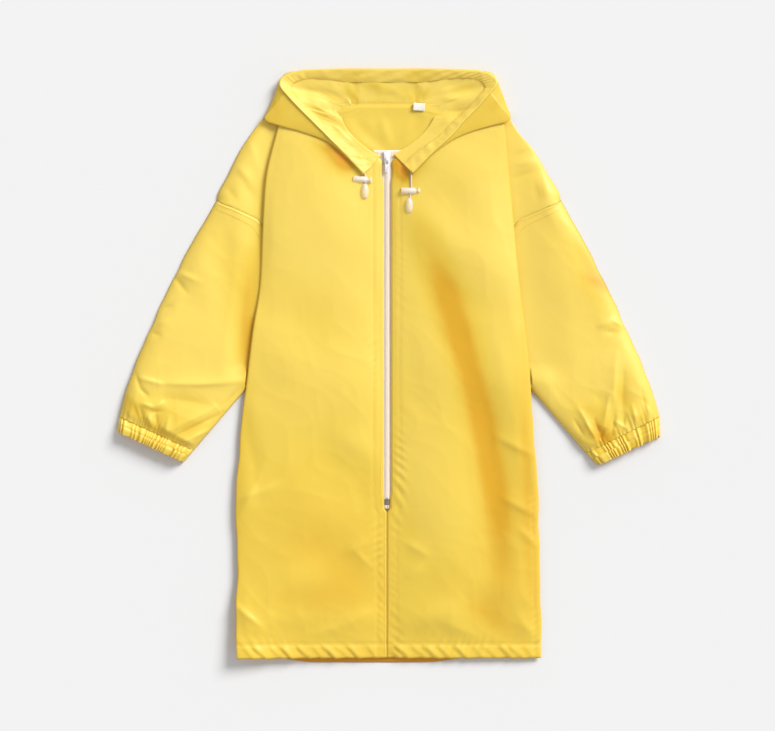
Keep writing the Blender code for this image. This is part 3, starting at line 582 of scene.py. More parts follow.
@dataclass(frozen=True)
class BraidedCord(Finish):
    """Cream braided cord: two sets of strands that cross, painted darker in the hollows between them."""

    colour: Colour = (0.86, 0.70, 0.60, 1.0)
    # Colour of the painted shade between the strands.
    hollow: Colour = (0.62, 0.44, 0.34, 1.0)

    def paint(self, board: Board) -> None:
        """Lays the finish's nodes on a board."""
        x, y, z = board.split(board.place())
        one = ((x + z) * 4200.0 + y * 3600.0).sine()
        other = ((x + z) * 4200.0 - y * 3600.0).sine()
        strands = one * other
        colour = board.mix(strands.between(-0.6, 0.8), self.hollow, self.colour)
        board.set(Base_Color=colour, Roughness=0.7, Normal=board.bump(strands, 0.00018))


@dataclass(frozen=True)
class MilkyPlastic(Finish):
    """Moulded plastic that lets some light through, faintly cloudy."""

    colour: Colour = (0.96, 0.87, 0.78, 1.0)
    cloudy: Colour = (0.88, 0.76, 0.62, 1.0)

    def paint(self, board: Board) -> None:
        """Lays the finish's nodes on a board."""
        cloud = board.noise(board.place(), 220.0, 3.0)
        colour = board.mix(cloud * 0.6, self.colour, self.cloudy)
        board.set(Base_Color=colour, Roughness=0.2 + 0.1 * cloud, Alpha=0.52, Subsurface_Weight=0.3,
                  Subsurface_Scale=0.003, IOR=1.45, Coat_Weight=0.4, Coat_Roughness=0.12)


@dataclass(frozen=True)
class WhiteEnamel(Finish):
    """White enamel on die-cast metal, greyer where it has worn."""

    colour: Colour = (0.74, 0.72, 0.76, 1.0)
    worn: Colour = (0.58, 0.54, 0.52, 1.0)

    def paint(self, board: Board) -> None:
        """Lays the finish's nodes on a board."""
        wear = board.noise(board.place(), 420.0, 4.0).between(0.56, 0.72)
        colour = board.mix(wear, self.colour, self.worn)
        board.set(Base_Color=colour, Roughness=0.28 + 0.2 * wear, Metallic=wear * 0.35,
                  Coat_Weight=0.25, Coat_Roughness=0.1)


@dataclass(frozen=True)
class DarkSteel(Finish):
    """Pressed steel with a dark plating and fine scratches."""

    colour: Colour = (0.16, 0.13, 0.11, 1.0)
    bare: Colour = (0.40, 0.36, 0.33, 1.0)

    def paint(self, board: Board) -> None:
        """Lays the finish's nodes on a board."""
        scratch = board.noise(board.place(), 1500.0, 3.0)
        colour = board.mix(scratch, self.colour, self.bare)
        board.set(Base_Color=colour, Metallic=0.9, Roughness=0.25 + 0.25 * scratch,
                  Normal=board.bump(scratch, 0.00003))


@dataclass(frozen=True)
class StudioPaper(Finish):
    """Matt pale floor with the faintest unevenness."""

    colour: Colour = (0.665, 0.665, 0.665, 1.0)
    uneven: Colour = (0.65, 0.65, 0.65, 1.0)

    def paint(self, board: Board) -> None:
        """Lays the finish's nodes on a board."""
        cloud = board.noise(board.place(), 3.0)
        board.set(Base_Color=board.mix(cloud * 0.3, self.colour, self.uneven), Roughness=0.9,
                  Specular_IOR_Level=0.1)


NYLON = CoatedNylon()
NYLON_SLOT = "coated_nylon"
THREAD = SewingThread()


# ---- the coat's own form --------------------------------------------------------------------------------


@dataclass
class CoatForm:
    """The laid-out coat's outline and heights, shared by all its pieces. Lengths are in millimetres."""

    zip_x: float = -2.6
    hem_y: float = -378.3
    armpit_y: float = -24.7
    seam_outer_y: float = 215.8
    top_y: float = 320.0
    neck_y: float = 336.7
    closed_y: float = -184.0
    fold_lift: float = 2.7
    hem_depth: float = 18.0
    centre_z: float = 4.6
    zip_narrowing: tuple[float, float] = (1.6, 1.2)
    narrows_y: tuple[float, float] = (248.0, -164.0)
    overlap: float = 0.45
    crown: float = 6.4
    sleeve_crown: dict[Side, float] = field(default_factory=lambda: {Side.LEFT: 9.0, Side.RIGHT: 7.6})
    pleat_reach: dict[Side, float] = field(default_factory=lambda: {Side.LEFT: 34.0, Side.RIGHT: 62.0})
    cuff_lift: dict[Side, float] = field(default_factory=lambda: {Side.LEFT: 6.5, Side.RIGHT: 3.0})
    sides: Profile = field(default_factory=lambda: Profile(
        "y left right pleat",
        (-378.3, 197.4, 196.6, 7.0), (-330.0, 197.6, 197.2, 7.0), (-249.6, 196.3, 195.0, 7.0),
        (-171.6, 198.9, 193.7, 7.0), (-109.2, 193.7, 188.5, 7.0), (-62.4, 189.8, 185.9, 7.0),
        (-24.7, 184.8, 183.3, 8.0), (43.0, 176.8, 177.0, 18.0), (112.0, 166.5, 168.3, 19.0),
        (187.2, 163.2, 161.4, 14.0), (239.0, 159.9, 156.6, 9.0), (320.0, 141.0, 148.8, 5.0)))
    seams: Profile = field(default_factory=lambda: Profile(
        "y left right",
        (-24.7, 181.4, 180.0), (43.0, 163.8, 164.0), (112.0, 152.5, 154.3), (160.0, 155.0, 153.0),
        (187.2, 166.4, 165.0), (202.0, 194.5, 196.0), (215.8, 223.0, 222.6), (249.6, 208.0, 205.4),
        (280.8, 192.4, 187.0), (306.0, 175.5, 166.0), (320.0, 165.0, 157.5)))
    outers: Profile = field(default_factory=lambda: Profile(
        "y left right",
        (-66.0, 350.2, 351.4), (-31.2, 341.3, 341.2), (46.8, 310.7, 308.6), (140.4, 266.5, 264.2),
        (215.8, 223.5, 223.1)))
    neck: Profile = field(default_factory=lambda: Profile(
        "y reach",
        (-400.0, 6.2), (264.0, 6.2), (269.0, 9.5), (275.0, 17.0), (284.0, 28.0), (294.0, 40.5), (307.0, 54.0),
        (320.0, 61.0)))

    def front_edge(self, side: Side, y: Array) -> Array:
        """Distance from X 0 to a front's inner edge: beside the zip, closed below it, round the neck."""
        closing = ease((self.closed_y - y) / 7.0)
        reach = self.neck("reach", y)
        for narrowing, start in zip(self.zip_narrowing, self.narrows_y):
            reach = reach - narrowing * ease((start - y) / 12.0)
        reach = reach * (1.0 - closing) - self.overlap * closing
        return reach + side.value * self.zip_x

    def fold(self, side: Side, y: Array) -> Array:
        """Distance from X 0 to the side fold, or to the pleat's fold above the armpit."""
        seed = 0.0 if side is Side.LEFT else 2.0
        waver = 0.5 * np.sin(y / 19.0 + seed + np.sin(y / 41.0)) + 0.35 * np.sin(y / 8.3 + 2.0 * seed)
        return self.sides(side.word, y) + waver * ease((self.armpit_y - y) / 40.0)

    def fold_top(self, y: Array) -> Array:
        """Height of the top layer at that fold."""
        return 5.6 + 2.5 * ease((y - self.armpit_y + 70.0) / 90.0)

    def body_height(self, side: Side, reach: Array, y: Array) -> Array:
        """Height of a front over the ground."""
        x = side.value * reach
        inner = self.front_edge(side, y)
        fold = self.fold(side, y)
        share = np.clip((reach - inner) / (fold - inner), 0.0, 1.0)
        crown = self.crown * np.sin(np.pi * share) ** 0.8 * (1.0 - 0.35 * ease((y - 230.0) / 90.0))
        edge = self.centre_z + (self.fold_top(y) - self.centre_z) * share**2
        quiet = ease(share / 0.16) * ease((1.0 - share) / 0.1)
        lower = ease((y - self.hem_y - self.hem_depth) / 40.0)
        loose = swell(x, y, 1.3 if side is Side.LEFT else 4.1) * 1.5 * quiet * lower
        crown = crown * (0.35 + 0.65 * lower)
        corner = np.exp(-((fold - reach) / 60.0) ** 2 - ((y - self.hem_y) / 70.0) ** 2)
        side_lift = np.exp(-((fold - reach) / 30.0) ** 2) * (y < self.armpit_y)
        edge = edge + (10.5 * corner + 2.5 * side_lift * ease((self.armpit_y - y) / 60.0)) * (side is Side.LEFT)
        loose = loose + crackle(x, y, 0.4 + side.value) * quiet * (0.55 + 0.5 * ease((-180.0 - y) / 150.0))
        return edge + crown + loose + relief(BODY_CREASES[side], x, y) * ease(share / 0.05)

    def shoulder_reach(self, side: Side, y: Array) -> Array:
        """Distance from X 0 to the outer edge of the shoulder or sleeve."""
        return np.where(y > self.seam_outer_y, self.seams(side.word, np.maximum(y, self.seam_outer_y)),
                        self.outers(side.word, y))

    def arm_tone(self, side: Side, reach: Array, y: Array) -> Array:
        """Tone of the shoulder and sleeve: painted shade in the troughs of the creases, along the outer edge and in
        listed streaks.
        """
        x = side.value * reach
        # Painted shade in crease troughs, and a little painted light on ridges.
        deep = np.clip(-relief(ARM_CREASES[side], x, y) / 14.0, -0.08, 0.3)
        # Painted shade where the cloth rounds down at its outer edge.
        edge = 0.18 * np.exp(-((self.shoulder_reach(side, y) - reach) / 7.0) ** 2)
        return 0.06 + edge + deep + relief(ARM_PAINTED_SHADE[side], x, y)

    def arm_height(self, side: Side, reach: Array, y: Array, cuff_off: Array) -> Array:
        """Height of the top layer of the shoulder and sleeve.

        Args:
            side: which arm.
            reach: distance from X 0.
            y: place along the coat.
            cuff_off: distance from the underarm edge below the armpit, or a large number above it.
        """
        outer = (self.shoulder_reach(side, y) - reach) * 0.87
        rounded = dome((outer + 0.4) / 26.0) ** 1.4
        fold = self.fold(side, y)
        above = ease((y - self.armpit_y) / 30.0)
        by_pleat = 0.26 + 0.74 * ease((reach - fold - 3.0) / self.pleat_reach[side])
        by_edge = dome((cuff_off + 0.4) / 22.0)
        inner = by_pleat * above + by_edge * (1.0 - above)
        x = side.value * reach
        open_cloth = rounded * inner
        loose = swell(x, y, 2.2 if side is Side.LEFT else 5.4) * 1.2
        loose = loose + crackle(x, y, side.value) * (0.6 + 1.5 * ease((20.0 - y) / 110.0))
        shape = 1.5 + self.sleeve_crown[side] * open_cloth * (1.0 - 0.3 * ease((y - 225.0) / 80.0))
        return np.maximum(shape + (loose + relief(ARM_CREASES[side], x, y)) * np.minimum(open_cloth * 1.2, 1.0), 1.3)


NO_CUFF = 99.0  # distance from the underarm edge for places above the armpit

# Painted shade: soft streaks that deepen the cloth's colour where folds, flaps and the pleat shade it; a negative lift
# paints light instead.
BODY_PAINTED_SHADE: dict[Side, list[Crease]] = {
    Side.LEFT: creases(
        (-120, -160, -60, -300, 60, 0.22), (-70, -230, -20, -320, 34, 0.1),
        (-160, -300, -20, -300, 22, 0.18), (-190, 60, -196, -300, 9, 0.24),
        (-72, 282, -46, 252, 13, 1.7), (-100, 292, -60, 268, 9, 0.7),
        (-30, -100, -30, -240, 12, 0.12), (-100, 180, -40, 60, 50, -0.10),
    ),
    Side.RIGHT: creases(
        (30, 205, 76, 92, 24, 0.5), (66, 125, 97, 15, 22, 1.0),
        (90, 47, 126, -88, 18, 1.0), (118, -57, 146, -205, 17, 0.95),
        (140, -170, 152, -310, 20, 0.45), (172, 40, 186, -330, 14, 0.5),
        (8, 276, 24, 236, 11, 1.7), (20, 256, 48, 276, 10, 0.9),
        (130, 220, 168, 96, 22, -0.15), (20, -40, 60, -250, 26, -0.1),
        (100, -300, 168, -352, 14, 0.25),
    ),
}
# Painted shade on the shoulders and sleeves: beside the pleats, along creases and towards the cuffs; a negative lift
# paints light.
ARM_PAINTED_SHADE: dict[Side, list[Crease]] = {
    Side.LEFT: creases(
        (-176, 60, -186, -30, 8, 1.2), (-180, 150, -194, -5, 11, 0.55), (-160, 240, -182, 20, 9, 0.45),
        (-336, -50, -220, -92, 18, 0.35), (-320, -70, -270, -118, 13, 0.45),
        (-340, -40, -326, -66, 9, 0.5), (-262, 120, -240, 92, 12, 0.1),
    ),
    Side.RIGHT: creases(
        (240, 160, 288, 66, 15, 0.4), (266, 20, 284, -30, 12, -0.1),
        (262, -66, 300, -118, 17, 0.6), (258, -80, 288, -102, 9, 0.55), (232, -52, 290, -62, 14, 0.35),
        (312, -52, 348, -84, 12, 0.35), (250, 120, 292, 96, 9, 0.4),
         (290, -20, 316, -60, 10, 0.45),
    ),
}
BODY_CREASES: dict[Side, list[Crease]] = {
    Side.LEFT: creases(
        (-165, 86, -77, -135, 40, 3.0), (-116, -233, -18, -285, 34, -2.6),
        (-187, -317, -77, -252, 22, 3.2), (-196, -174, -142, -152, 8, 2.4, 0.3),
        (-199, -308, -166, -336, 6, 3.2, 0.4), (-198, -204, -163, -132, 9, 2.0),
        (-130, 250, -36, 140, 58, 4.0), (-150, 30, -60, 110, 48, -2.6),
        (-24, -226, -58, -244, 8, 1.8, 0.3), (-22, -262, -48, -236, 7, 1.6),
        (-20, -316, -66, -340, 12, 2.2), (-110, -352, -54, -334, 11, 2.0, 0.2),
        (-176, -352, -150, -322, 10, 1.2), (-18, -120, -66, -88, 18, 2.0),
        (-186, -60, -168, -170, 14, -2.2), (-172, 180, -166, 60, 12, -2.0),
        (-128, -40, -40, -190, 46, -3.0), (-60, 40, -20, -70, 34, 2.6),
    ),
    Side.RIGHT: creases(
        (27, 196, 188, 84, 44, 4.6, 0.25), (66, 132, 168, 40, 36, -3.4),
        (140, 52, 176, -205, 25, 3.4, -0.25, 8.0), (100, 30, 142, -258, 24, -3.0, 0.0, 8.0),
        (168, -210, 164, -330, 22, 2.6), (86, -304, 172, -330, 25, -2.6),
        (186, -116, 140, -92, 8, 2.4, 0.3), (192, -196, 146, -170, 8, 2.4, 0.3),
        (194, -236, 168, -210, 7, 2.0), (27, -337, 104, -304, 18, 3.2),
        (20, -228, 52, -246, 8, 1.8), (22, -276, 46, -256, 8, 1.6),
        (120, -352, 66, -330, 12, 2.0, 0.2), (188, -352, 166, -322, 10, 2.2),
        (30, 80, 78, -60, 32, 2.6), (40, -90, 92, -230, 40, 3.4),
        (120, 240, 150, 130, 26, 3.0), (60, 240, 100, 150, 28, -2.0),
    ),
}

ARM_CREASES: dict[Side, list[Crease]] = {
    Side.LEFT: creases(
        (-281, 118, -262, 95, 3.5, -2.4), (-277, 123, -246, 110, 5, 2.2, 0.3),
        (-297, 73, -280, 79, 3, -1.6), (-312, 45, -296, 39, 3, -1.6), (-302, 52, -284, 60, 5, 1.4),
        (-291, 86, -200, -14, 30, 2.4), (-212, 178, -200, 60, 22, -2.4),
        (-322, -15, -293, -23, 4, 3.0, 0.4), (-296, -22, -187, -19, 6.5, 3.2, -0.4, -3.0),
        (-329, -8, -321, -31, 3, -2.4), (-322, -29, -311, -40, 3, -2.4), (-300, -40, -228, -50, 11, -3.0),
        (-319, -48, -304, -54, 3, 2.8), (-305, -54, -292, -47, 3, 2.6), (-310, -60, -292, -58, 3.5, -2.0),
        (-338, -58, -327, -78, 3.5, 2.8), (-330, -52, -322, -72, 3.5, -2.2),
        (-315, -78, -322, -54, 3.5, -2.6), (-306, -84, -311, -62, 3.5, 2.6),
        (-298, -88, -302, -60, 4, -2.4), (-290, -92, -284, -66, 4, 2.4),
        (-283, -94, -216, -60, 4, -3.2, 0.3), (-286, -86, -226, -54, 5, 2.8, -0.3),
        (-274, -102, -210, -72, 3.5, 3.0, 0.3), (-267, -109, -212, -86, 3, -2.4),
        (-218, -54, -192, -28, 3, -2.0), (-200, 262, -176, 236, 7, 2.0), (-196, 250, -172, 214, 8, -1.8),
        (-182, 296, -168, 250, 7, 1.8), (-246, 170, -232, 60, 18, 1.4), (-214, 236, -196, 214, 4, -1.4),
    ),
    Side.RIGHT: creases(
        (157, 243, 188, 253, 4, -2.8), (160, 260, 192, 266, 5, 3.0, -0.3), (158, 272, 180, 280, 4, -1.8),
        (200, 248, 206, 216, 6, 2.0), (188, 240, 194, 214, 5, -1.4),
        (304, 51, 290, 59, 3.5, 3.0, 0.3), (292, 59, 272, 51, 4, 2.4), (298, 44, 280, 44, 4, -2.0),
        (232, 170, 286, 92, 18, -1.8), (294, 14, 290, -54, 7, 2.4, 0.4), (304, -4, 302, -58, 6, -1.8),
        (255, -73, 270, -97, 3.5, 3.2, 0.3), (266, -70, 276, -96, 3.5, -2.6),
        (278, -82, 272, -98, 3, -2.6), (286, -36, 277, -80, 5, 2.8), (292, -66, 288, -92, 3.5, -2.6),
        (293, -72, 320, -88, 3.5, 3.0, 0.3), (305, -62, 302, -86, 3.5, -2.8), (315, -52, 323, -84, 4, 3.0),
        (326, -32, 336, -66, 5, -2.4), (332, -48, 343, -75, 3.5, 2.8), (344, -50, 348, -76, 3, -1.8),
        (262, -34, 296, -58, 12, -2.0), (244, -52, 262, -84, 4, 2.0), (240, -70, 252, -90, 3, -1.8),
        (300, 20, 262, -24, 18, 1.6), (186, 20, 210, -36, 12, 1.4), (206, 232, 214, 190, 12, 1.4),
    ),
}


# ---- stitching ------------------------------------------------------------------------------------------


@dataclass
class Stitching:
    """Rows of lock stitches, each a small rounded dash that sinks into the cloth at its ends."""

    name: str
    stitch: float = 2.3
    gap: float = 0.7
    width: float = 0.42
    height: float = 0.34
    bm: bmesh.types.BMesh = field(default_factory=bmesh.new)

    def row(self, line: Array) -> None:
        """Adds stitches along a line of (x, y, z) places in millimetres."""
        steps = np.linalg.norm(np.diff(line, axis=0), axis=1)
        where = np.concatenate(([0.0], np.cumsum(steps)))
        pitch = self.stitch + self.gap
        for start in np.arange(pitch / 2, where[-1] - self.stitch, pitch):
            ends = [np.array([np.interp(s, where, line[:, k]) for k in range(3)])
                    for s in (start, start + self.stitch)]
            self._dash(Vector(ends[0]), Vector(ends[1]))

    def _dash(self, start: Vector, end: Vector) -> None:
        """One stitch between two places."""
        run = end - start
        side = run.cross(Vector((0.0, 0.0, 1.0))).normalized()
        up = side.cross(run).normalized()
        turn = Matrix((run.normalized(), side, up)).transposed().to_4x4()
        size = Matrix.Diagonal((run.length, self.width, self.height, 1.0))
        middle = (start + end) / 2 + up * self.height * 0.25
        matrix = Matrix.Scale(MM, 4) @ Matrix.Translation(middle) @ turn @ size
        made = bmesh.ops.create_cube(self.bm, size=1.0)["verts"]
        for vert in made:
            if vert.co.z > 0.0:
                vert.co.x *= 0.6
                vert.co.y *= 0.6
        bmesh.ops.transform(self.bm, matrix=matrix, verts=made)

    def finish(self) -> bpy.types.Object:
        """Makes the stitches' object."""
        piece = make_object(self.bm, self.name, THREAD)
        return join_coat(piece, NYLON_SLOT)


# ---- body -----------------------------------------------------------------------------------------------

# Folds of the turned-up hem: place along it, lift, and how far each leans.
HEM_FOLDS: dict[Side, list[tuple[float, float, float]]] = {
    Side.LEFT: [(-176, 1.4, 0.9), (-160, 2.6, 1.1), (-139, 1.2, 1.2), (-127, 2.9, 1.0), (-104, 2.2, 1.1),
                (-88, 1.3, 0.8), (-70, 3.0, 1.1), (-52, 1.1, 1.3), (-40, 2.4, 1.0), (-18, 1.5, 0.7)],
    Side.RIGHT: [(12, 1.3, 0.8), (24, 2.6, 1.1), (46, 1.6, 1.2), (62, 3.0, 1.2), (78, 2.2, 1.0),
                 (100, 2.9, 1.1), (121, 1.2, 0.9), (138, 1.4, 1.1), (158, 2.7, 1.0), (172, 2.0, 1.2), (186, 1.2, 0.8)],
}


@dataclass
class Front:
    """A front panel: turned edge beside the zip, hem, side lip or pleat, and the shoulder past the pleat."""

    form: CoatForm
    side: Side
    facing: float = 11.0
    wall: float = 0.6
    columns: int = 104
    lower_rows: int = 140
    upper_rows: int = 130
    facing_share: float = 0.09
    lip_share: float = 0.12
    shoulder_columns: int = 26
    shoulder_cut: tuple[float, float] = (0.08, 0.35)
    edge_rows: tuple[float, float] = (12.5, 3.2)
    edge_rows_top: float = 262.0
    side_row: float = 8.0
    side_row_top: float = -120.0
    cut: tuple[float, float] = (0.262, 0.702)
    cut_area: float = 0.146

    def _along(self, along: Array) -> Array:
        """Place along the coat for a share of the panel, with the armpit on a row."""
        split = self.lower_rows / (self.lower_rows + self.upper_rows)
        low = self.form.hem_y + (self.form.armpit_y - self.form.hem_y) * along / split
        high = self.form.armpit_y + (self.form.top_y - self.form.armpit_y) * (along - split) / (1 - split)
        return np.where(along <= split + 1e-6, low, high)

    def _height(self, reach: Array, y: Array) -> tuple[Array, Array]:
        """Height of the panel's top layer with its hem, puckers and folds, and its tone: cloth lying double, and
        painted shade.
        """
        form, side = self.form, self.side
        inner = form.front_edge(side, y)
        z = form.body_height(side, reach, y)
        off = reach - inner
        x = side.value * reach
        seed = 0.4 if side is Side.LEFT else 1.9
        gathered = (0.2 + 0.32 * ease((-20.0 - y) / 160.0)) * (1.0 + 0.8 * np.sin(y / 37.0 + 3.0 * seed))
        z = z + gathered * puckers(off - 12.0, y + 6.0 * np.sin(y / 19.0), 13.5, 0.8, 8.0, seed)
        closed = ease((form.closed_y - y) / 12.0)
        small = lapped((y * side.value + 0.9 * off + 5.0 * np.sin(y / 15.0)) / 12.0 + seed)
        z = z + closed * 0.36 * small * np.exp(-((off - 8.5) / 5.0) ** 4) * (0.7 + 0.3 * np.sin(y / 27.0))
        z = z - 0.45 * np.exp(-((off - 12.5) / 1.6) ** 2)
        z = z + (1.0 - closed) * (0.5 * dome((off + 0.2) / 3.0) - 0.25)
        z = z + closed * (0.8 if side is Side.RIGHT else -0.2) * np.exp(-off / 3.0)
        up = y - form.hem_y
        band = np.exp(-((up - 8.0) / 8.5) ** 4)
        fullness = 0.75 + 0.25 * np.sin(x / 23.0)
        z = z + band * (0.9 * fullness + self._hem_folds(x, up))
        z = z - 1.0 * np.exp(-((up - form.hem_depth) / 1.6) ** 2)
        uneven = reach + 7.0 * np.sin(reach / 23.0 + seed)
        z = z + 0.28 * puckers(up - form.hem_depth, uneven, 13.0, -0.6, 11.0, seed + 1.0) * ease(up / 6.0)
        seam_off = form.sides(side.word, y) - reach - 8.0
        if side is Side.RIGHT:
            low_side = ease((-120.0 - y) / 90.0)
            z = z + low_side * (0.6 * puckers(seam_off, y, 10.0, 0.8, 6.0, 2.7)
                                - 0.6 * np.exp(-(seam_off / 1.4) ** 2))
        cloth_tone = 0.55 * (1 - ease((off - 11.0) / 3.0)) + 0.45 * (1 - ease((up - form.hem_depth) / 2.0))
        # Painted shade in the troughs of the creases, and a little painted light on their ridges.
        deep = np.clip(-relief(BODY_CREASES[side], x, y) / 26.0, -0.06, 0.2)
        # Painted shade that grows darker towards the hem.
        lower = 0.10 + 0.34 * ease((230.0 - y) / 600.0)
        return z, lower + 0.12 * cloth_tone + deep + relief(BODY_PAINTED_SHADE[side], x, y)

    def _hem_folds(self, x: Array, up: Array) -> Array:
        """Slanting folds of the turned-up hem, each laid over the next at its left."""
        total = np.zeros_like(x)
        for place, lift, slant in HEM_FOLDS[self.side]:
            past = x + slant * up - place
            total = total + lift * ease((past + 1.1) / 2.2) * np.exp(-np.maximum(past, 0.0) / 9.0)
        return total

    def surface(self, across: Array, along: Array) -> Array:
        """The panel from its facing under the zip edge, over the top, to the cloth turned in at the side."""
        form, side = self.form, self.side
        y = self._along(along)
        inner, fold = form.front_edge(side, y), form.fold(side, y)
        facing = self.facing * ease((262.0 - y) / 10.0) + 0.6
        lip = form.sides("pleat", y)
        main = np.clip((across - self.facing_share) / (1 - self.facing_share - self.lip_share), 0.0, 1.0)
        radius = form.fold_lift / 2
        under_front = np.clip(1.0 - across / self.facing_share, 0.0, 1.0)
        past = np.clip((across - 1.0 + self.lip_share) / self.lip_share, 0.0, 1.0)
        top_reach = inner + (fold - radius - inner) * main
        # The tone that comes back carries cloth lying double and painted shade.
        z, cloth_tone = self._height(top_reach, y)
        turn = np.clip(past / 0.35, 0.0, 1.0) * math.pi
        inward = np.clip((past - 0.35) / 0.65, 0.0, 1.0)
        reach = top_reach + radius * np.sin(turn) - (lip - radius) * inward
        z = z - radius * (1.0 - np.cos(turn))
        reach = reach + facing * under_front
        z = z - 1.3 * np.clip(under_front * facing / 1.2, 0.0, 1.0) ** 0.5
        x = side.value * reach
        scallop = -0.45 * self._hem_folds(x, 0.0 * x) * np.exp(-(y - form.hem_y) / 6.0)
        cloth_tone = np.where(past > 0.0, np.maximum(cloth_tone, 0.5), cloth_tone)
        return np.stack((x, y + scallop, z, cloth_tone), axis=-1)

    def shoulder(self, across: Array, along: Array) -> Array:
        """The panel past the pleat: from the turned-in edge down and out to the sleeve seam."""
        form, side = self.form, self.side
        y = form.armpit_y + (form.top_y - form.armpit_y) * along
        end = self.surface(np.ones_like(along), self.lower_share + (1.0 - self.lower_share) * along)
        start = np.abs(end[:, 0])
        seam = form.seams(side.word, y) + 1.6 * ease((form.seam_outer_y - y) / 6.0)
        turn = np.clip(across / 0.12, 0.0, 1.0)
        out = np.clip((across - 0.12) / 0.88, 0.0, 1.0)
        reach = start - 1.1 * np.sin(turn * math.pi) + (seam - start) * out
        target = form.arm_height(side, reach, y, np.full_like(y, NO_CUFF))
        low = np.minimum(end[:, 2] - 2.4, target)
        settle = ease(out * (seam - start) / 14.0)
        z = end[:, 2] + (low - end[:, 2]) * ease(turn) * (1 - settle) + (target - end[:, 2]) * settle
        z = np.where(reach < form.fold(side, y) + 2.0, np.minimum(z, end[:, 2] - 1.3 * ease(turn)), z)
        near = seam - reach
        by_seam = ease((form.seam_outer_y + 6.0 - y) / 8.0)
        z = z + by_seam * (0.8 * puckers(near - 3.0, y, 8.5, 0.5, 7.0, 3.0) - 0.9 * np.exp(-near / 2.4))
        return np.stack((side.value * reach, y, z, self.form.arm_tone(side, reach, y)), axis=-1)

    @property
    def lower_share(self) -> float:
        """Share of the panel's rows below the armpit."""
        return self.lower_rows / (self.lower_rows + self.upper_rows)

    def build(self) -> bpy.types.Object:
        """Makes the panel as one sheet with its shoulder joined on."""
        bm = bmesh.new()
        rows = self.lower_rows + self.upper_rows
        grid_mesh(bm, self.columns, rows, self.surface, self.cut)
        grid_mesh(bm, self.shoulder_columns, self.upper_rows, self.shoulder, self.shoulder_cut)
        bmesh.ops.remove_doubles(bm, verts=bm.verts, dist=MEETING)
        word = self.side.word
        piece = cloth_piece(bm, "front_cloth_" + word, NYLON, self.wall, NYLON_SLOT, "front_" + word)
        return piece

    def line(self, off: float, start: float, end: float, sink: float = 0.1) -> Array:
        """Places on the panel at a distance from its zip edge."""
        y = np.arange(start, end, 1.5)
        reach = self.form.front_edge(self.side, y) + off
        z, _ = self._height(reach, y)
        return np.stack((self.side.value * reach, y, z + self.wall / 2 + sink), axis=-1)

    def hem_line(self, up: float) -> Array:
        """Places on the panel at a height above its hem."""
        reach = np.arange(3.0, self.form.fold(self.side, self.form.hem_y) - 3.0, 1.5)
        y = np.full_like(reach, self.form.hem_y + up)
        z, _ = self._height(reach, y)
        return np.stack((self.side.value * reach, y, z + self.wall / 2 + 0.1), axis=-1)

    def side_line(self, off: float, start: float, end: float) -> Array:
        """Places on the panel at a distance inside its side fold."""
        y = np.arange(start, end, 1.5)
        reach = self.form.sides(self.side.word, y) - off
        z, _ = self._height(reach, y)
        return np.stack((self.side.value * reach, y, z + self.wall / 2 + 0.1), axis=-1)

    def sew(self) -> bpy.types.Object:
        """Topstitches the zip edge in two rows, the hem, and the right side seam."""
        rows = Stitching("front_stitching_" + self.side.word)
        start = self.form.hem_y + 3.0
        for off in self.edge_rows:
            rows.row(self.line(off, start, self.edge_rows_top))
        rows.row(self.hem_line(self.form.hem_depth))
        if self.side is Side.RIGHT:
            rows.row(self.side_line(self.side_row, start, self.side_row_top))
        return rows.finish()


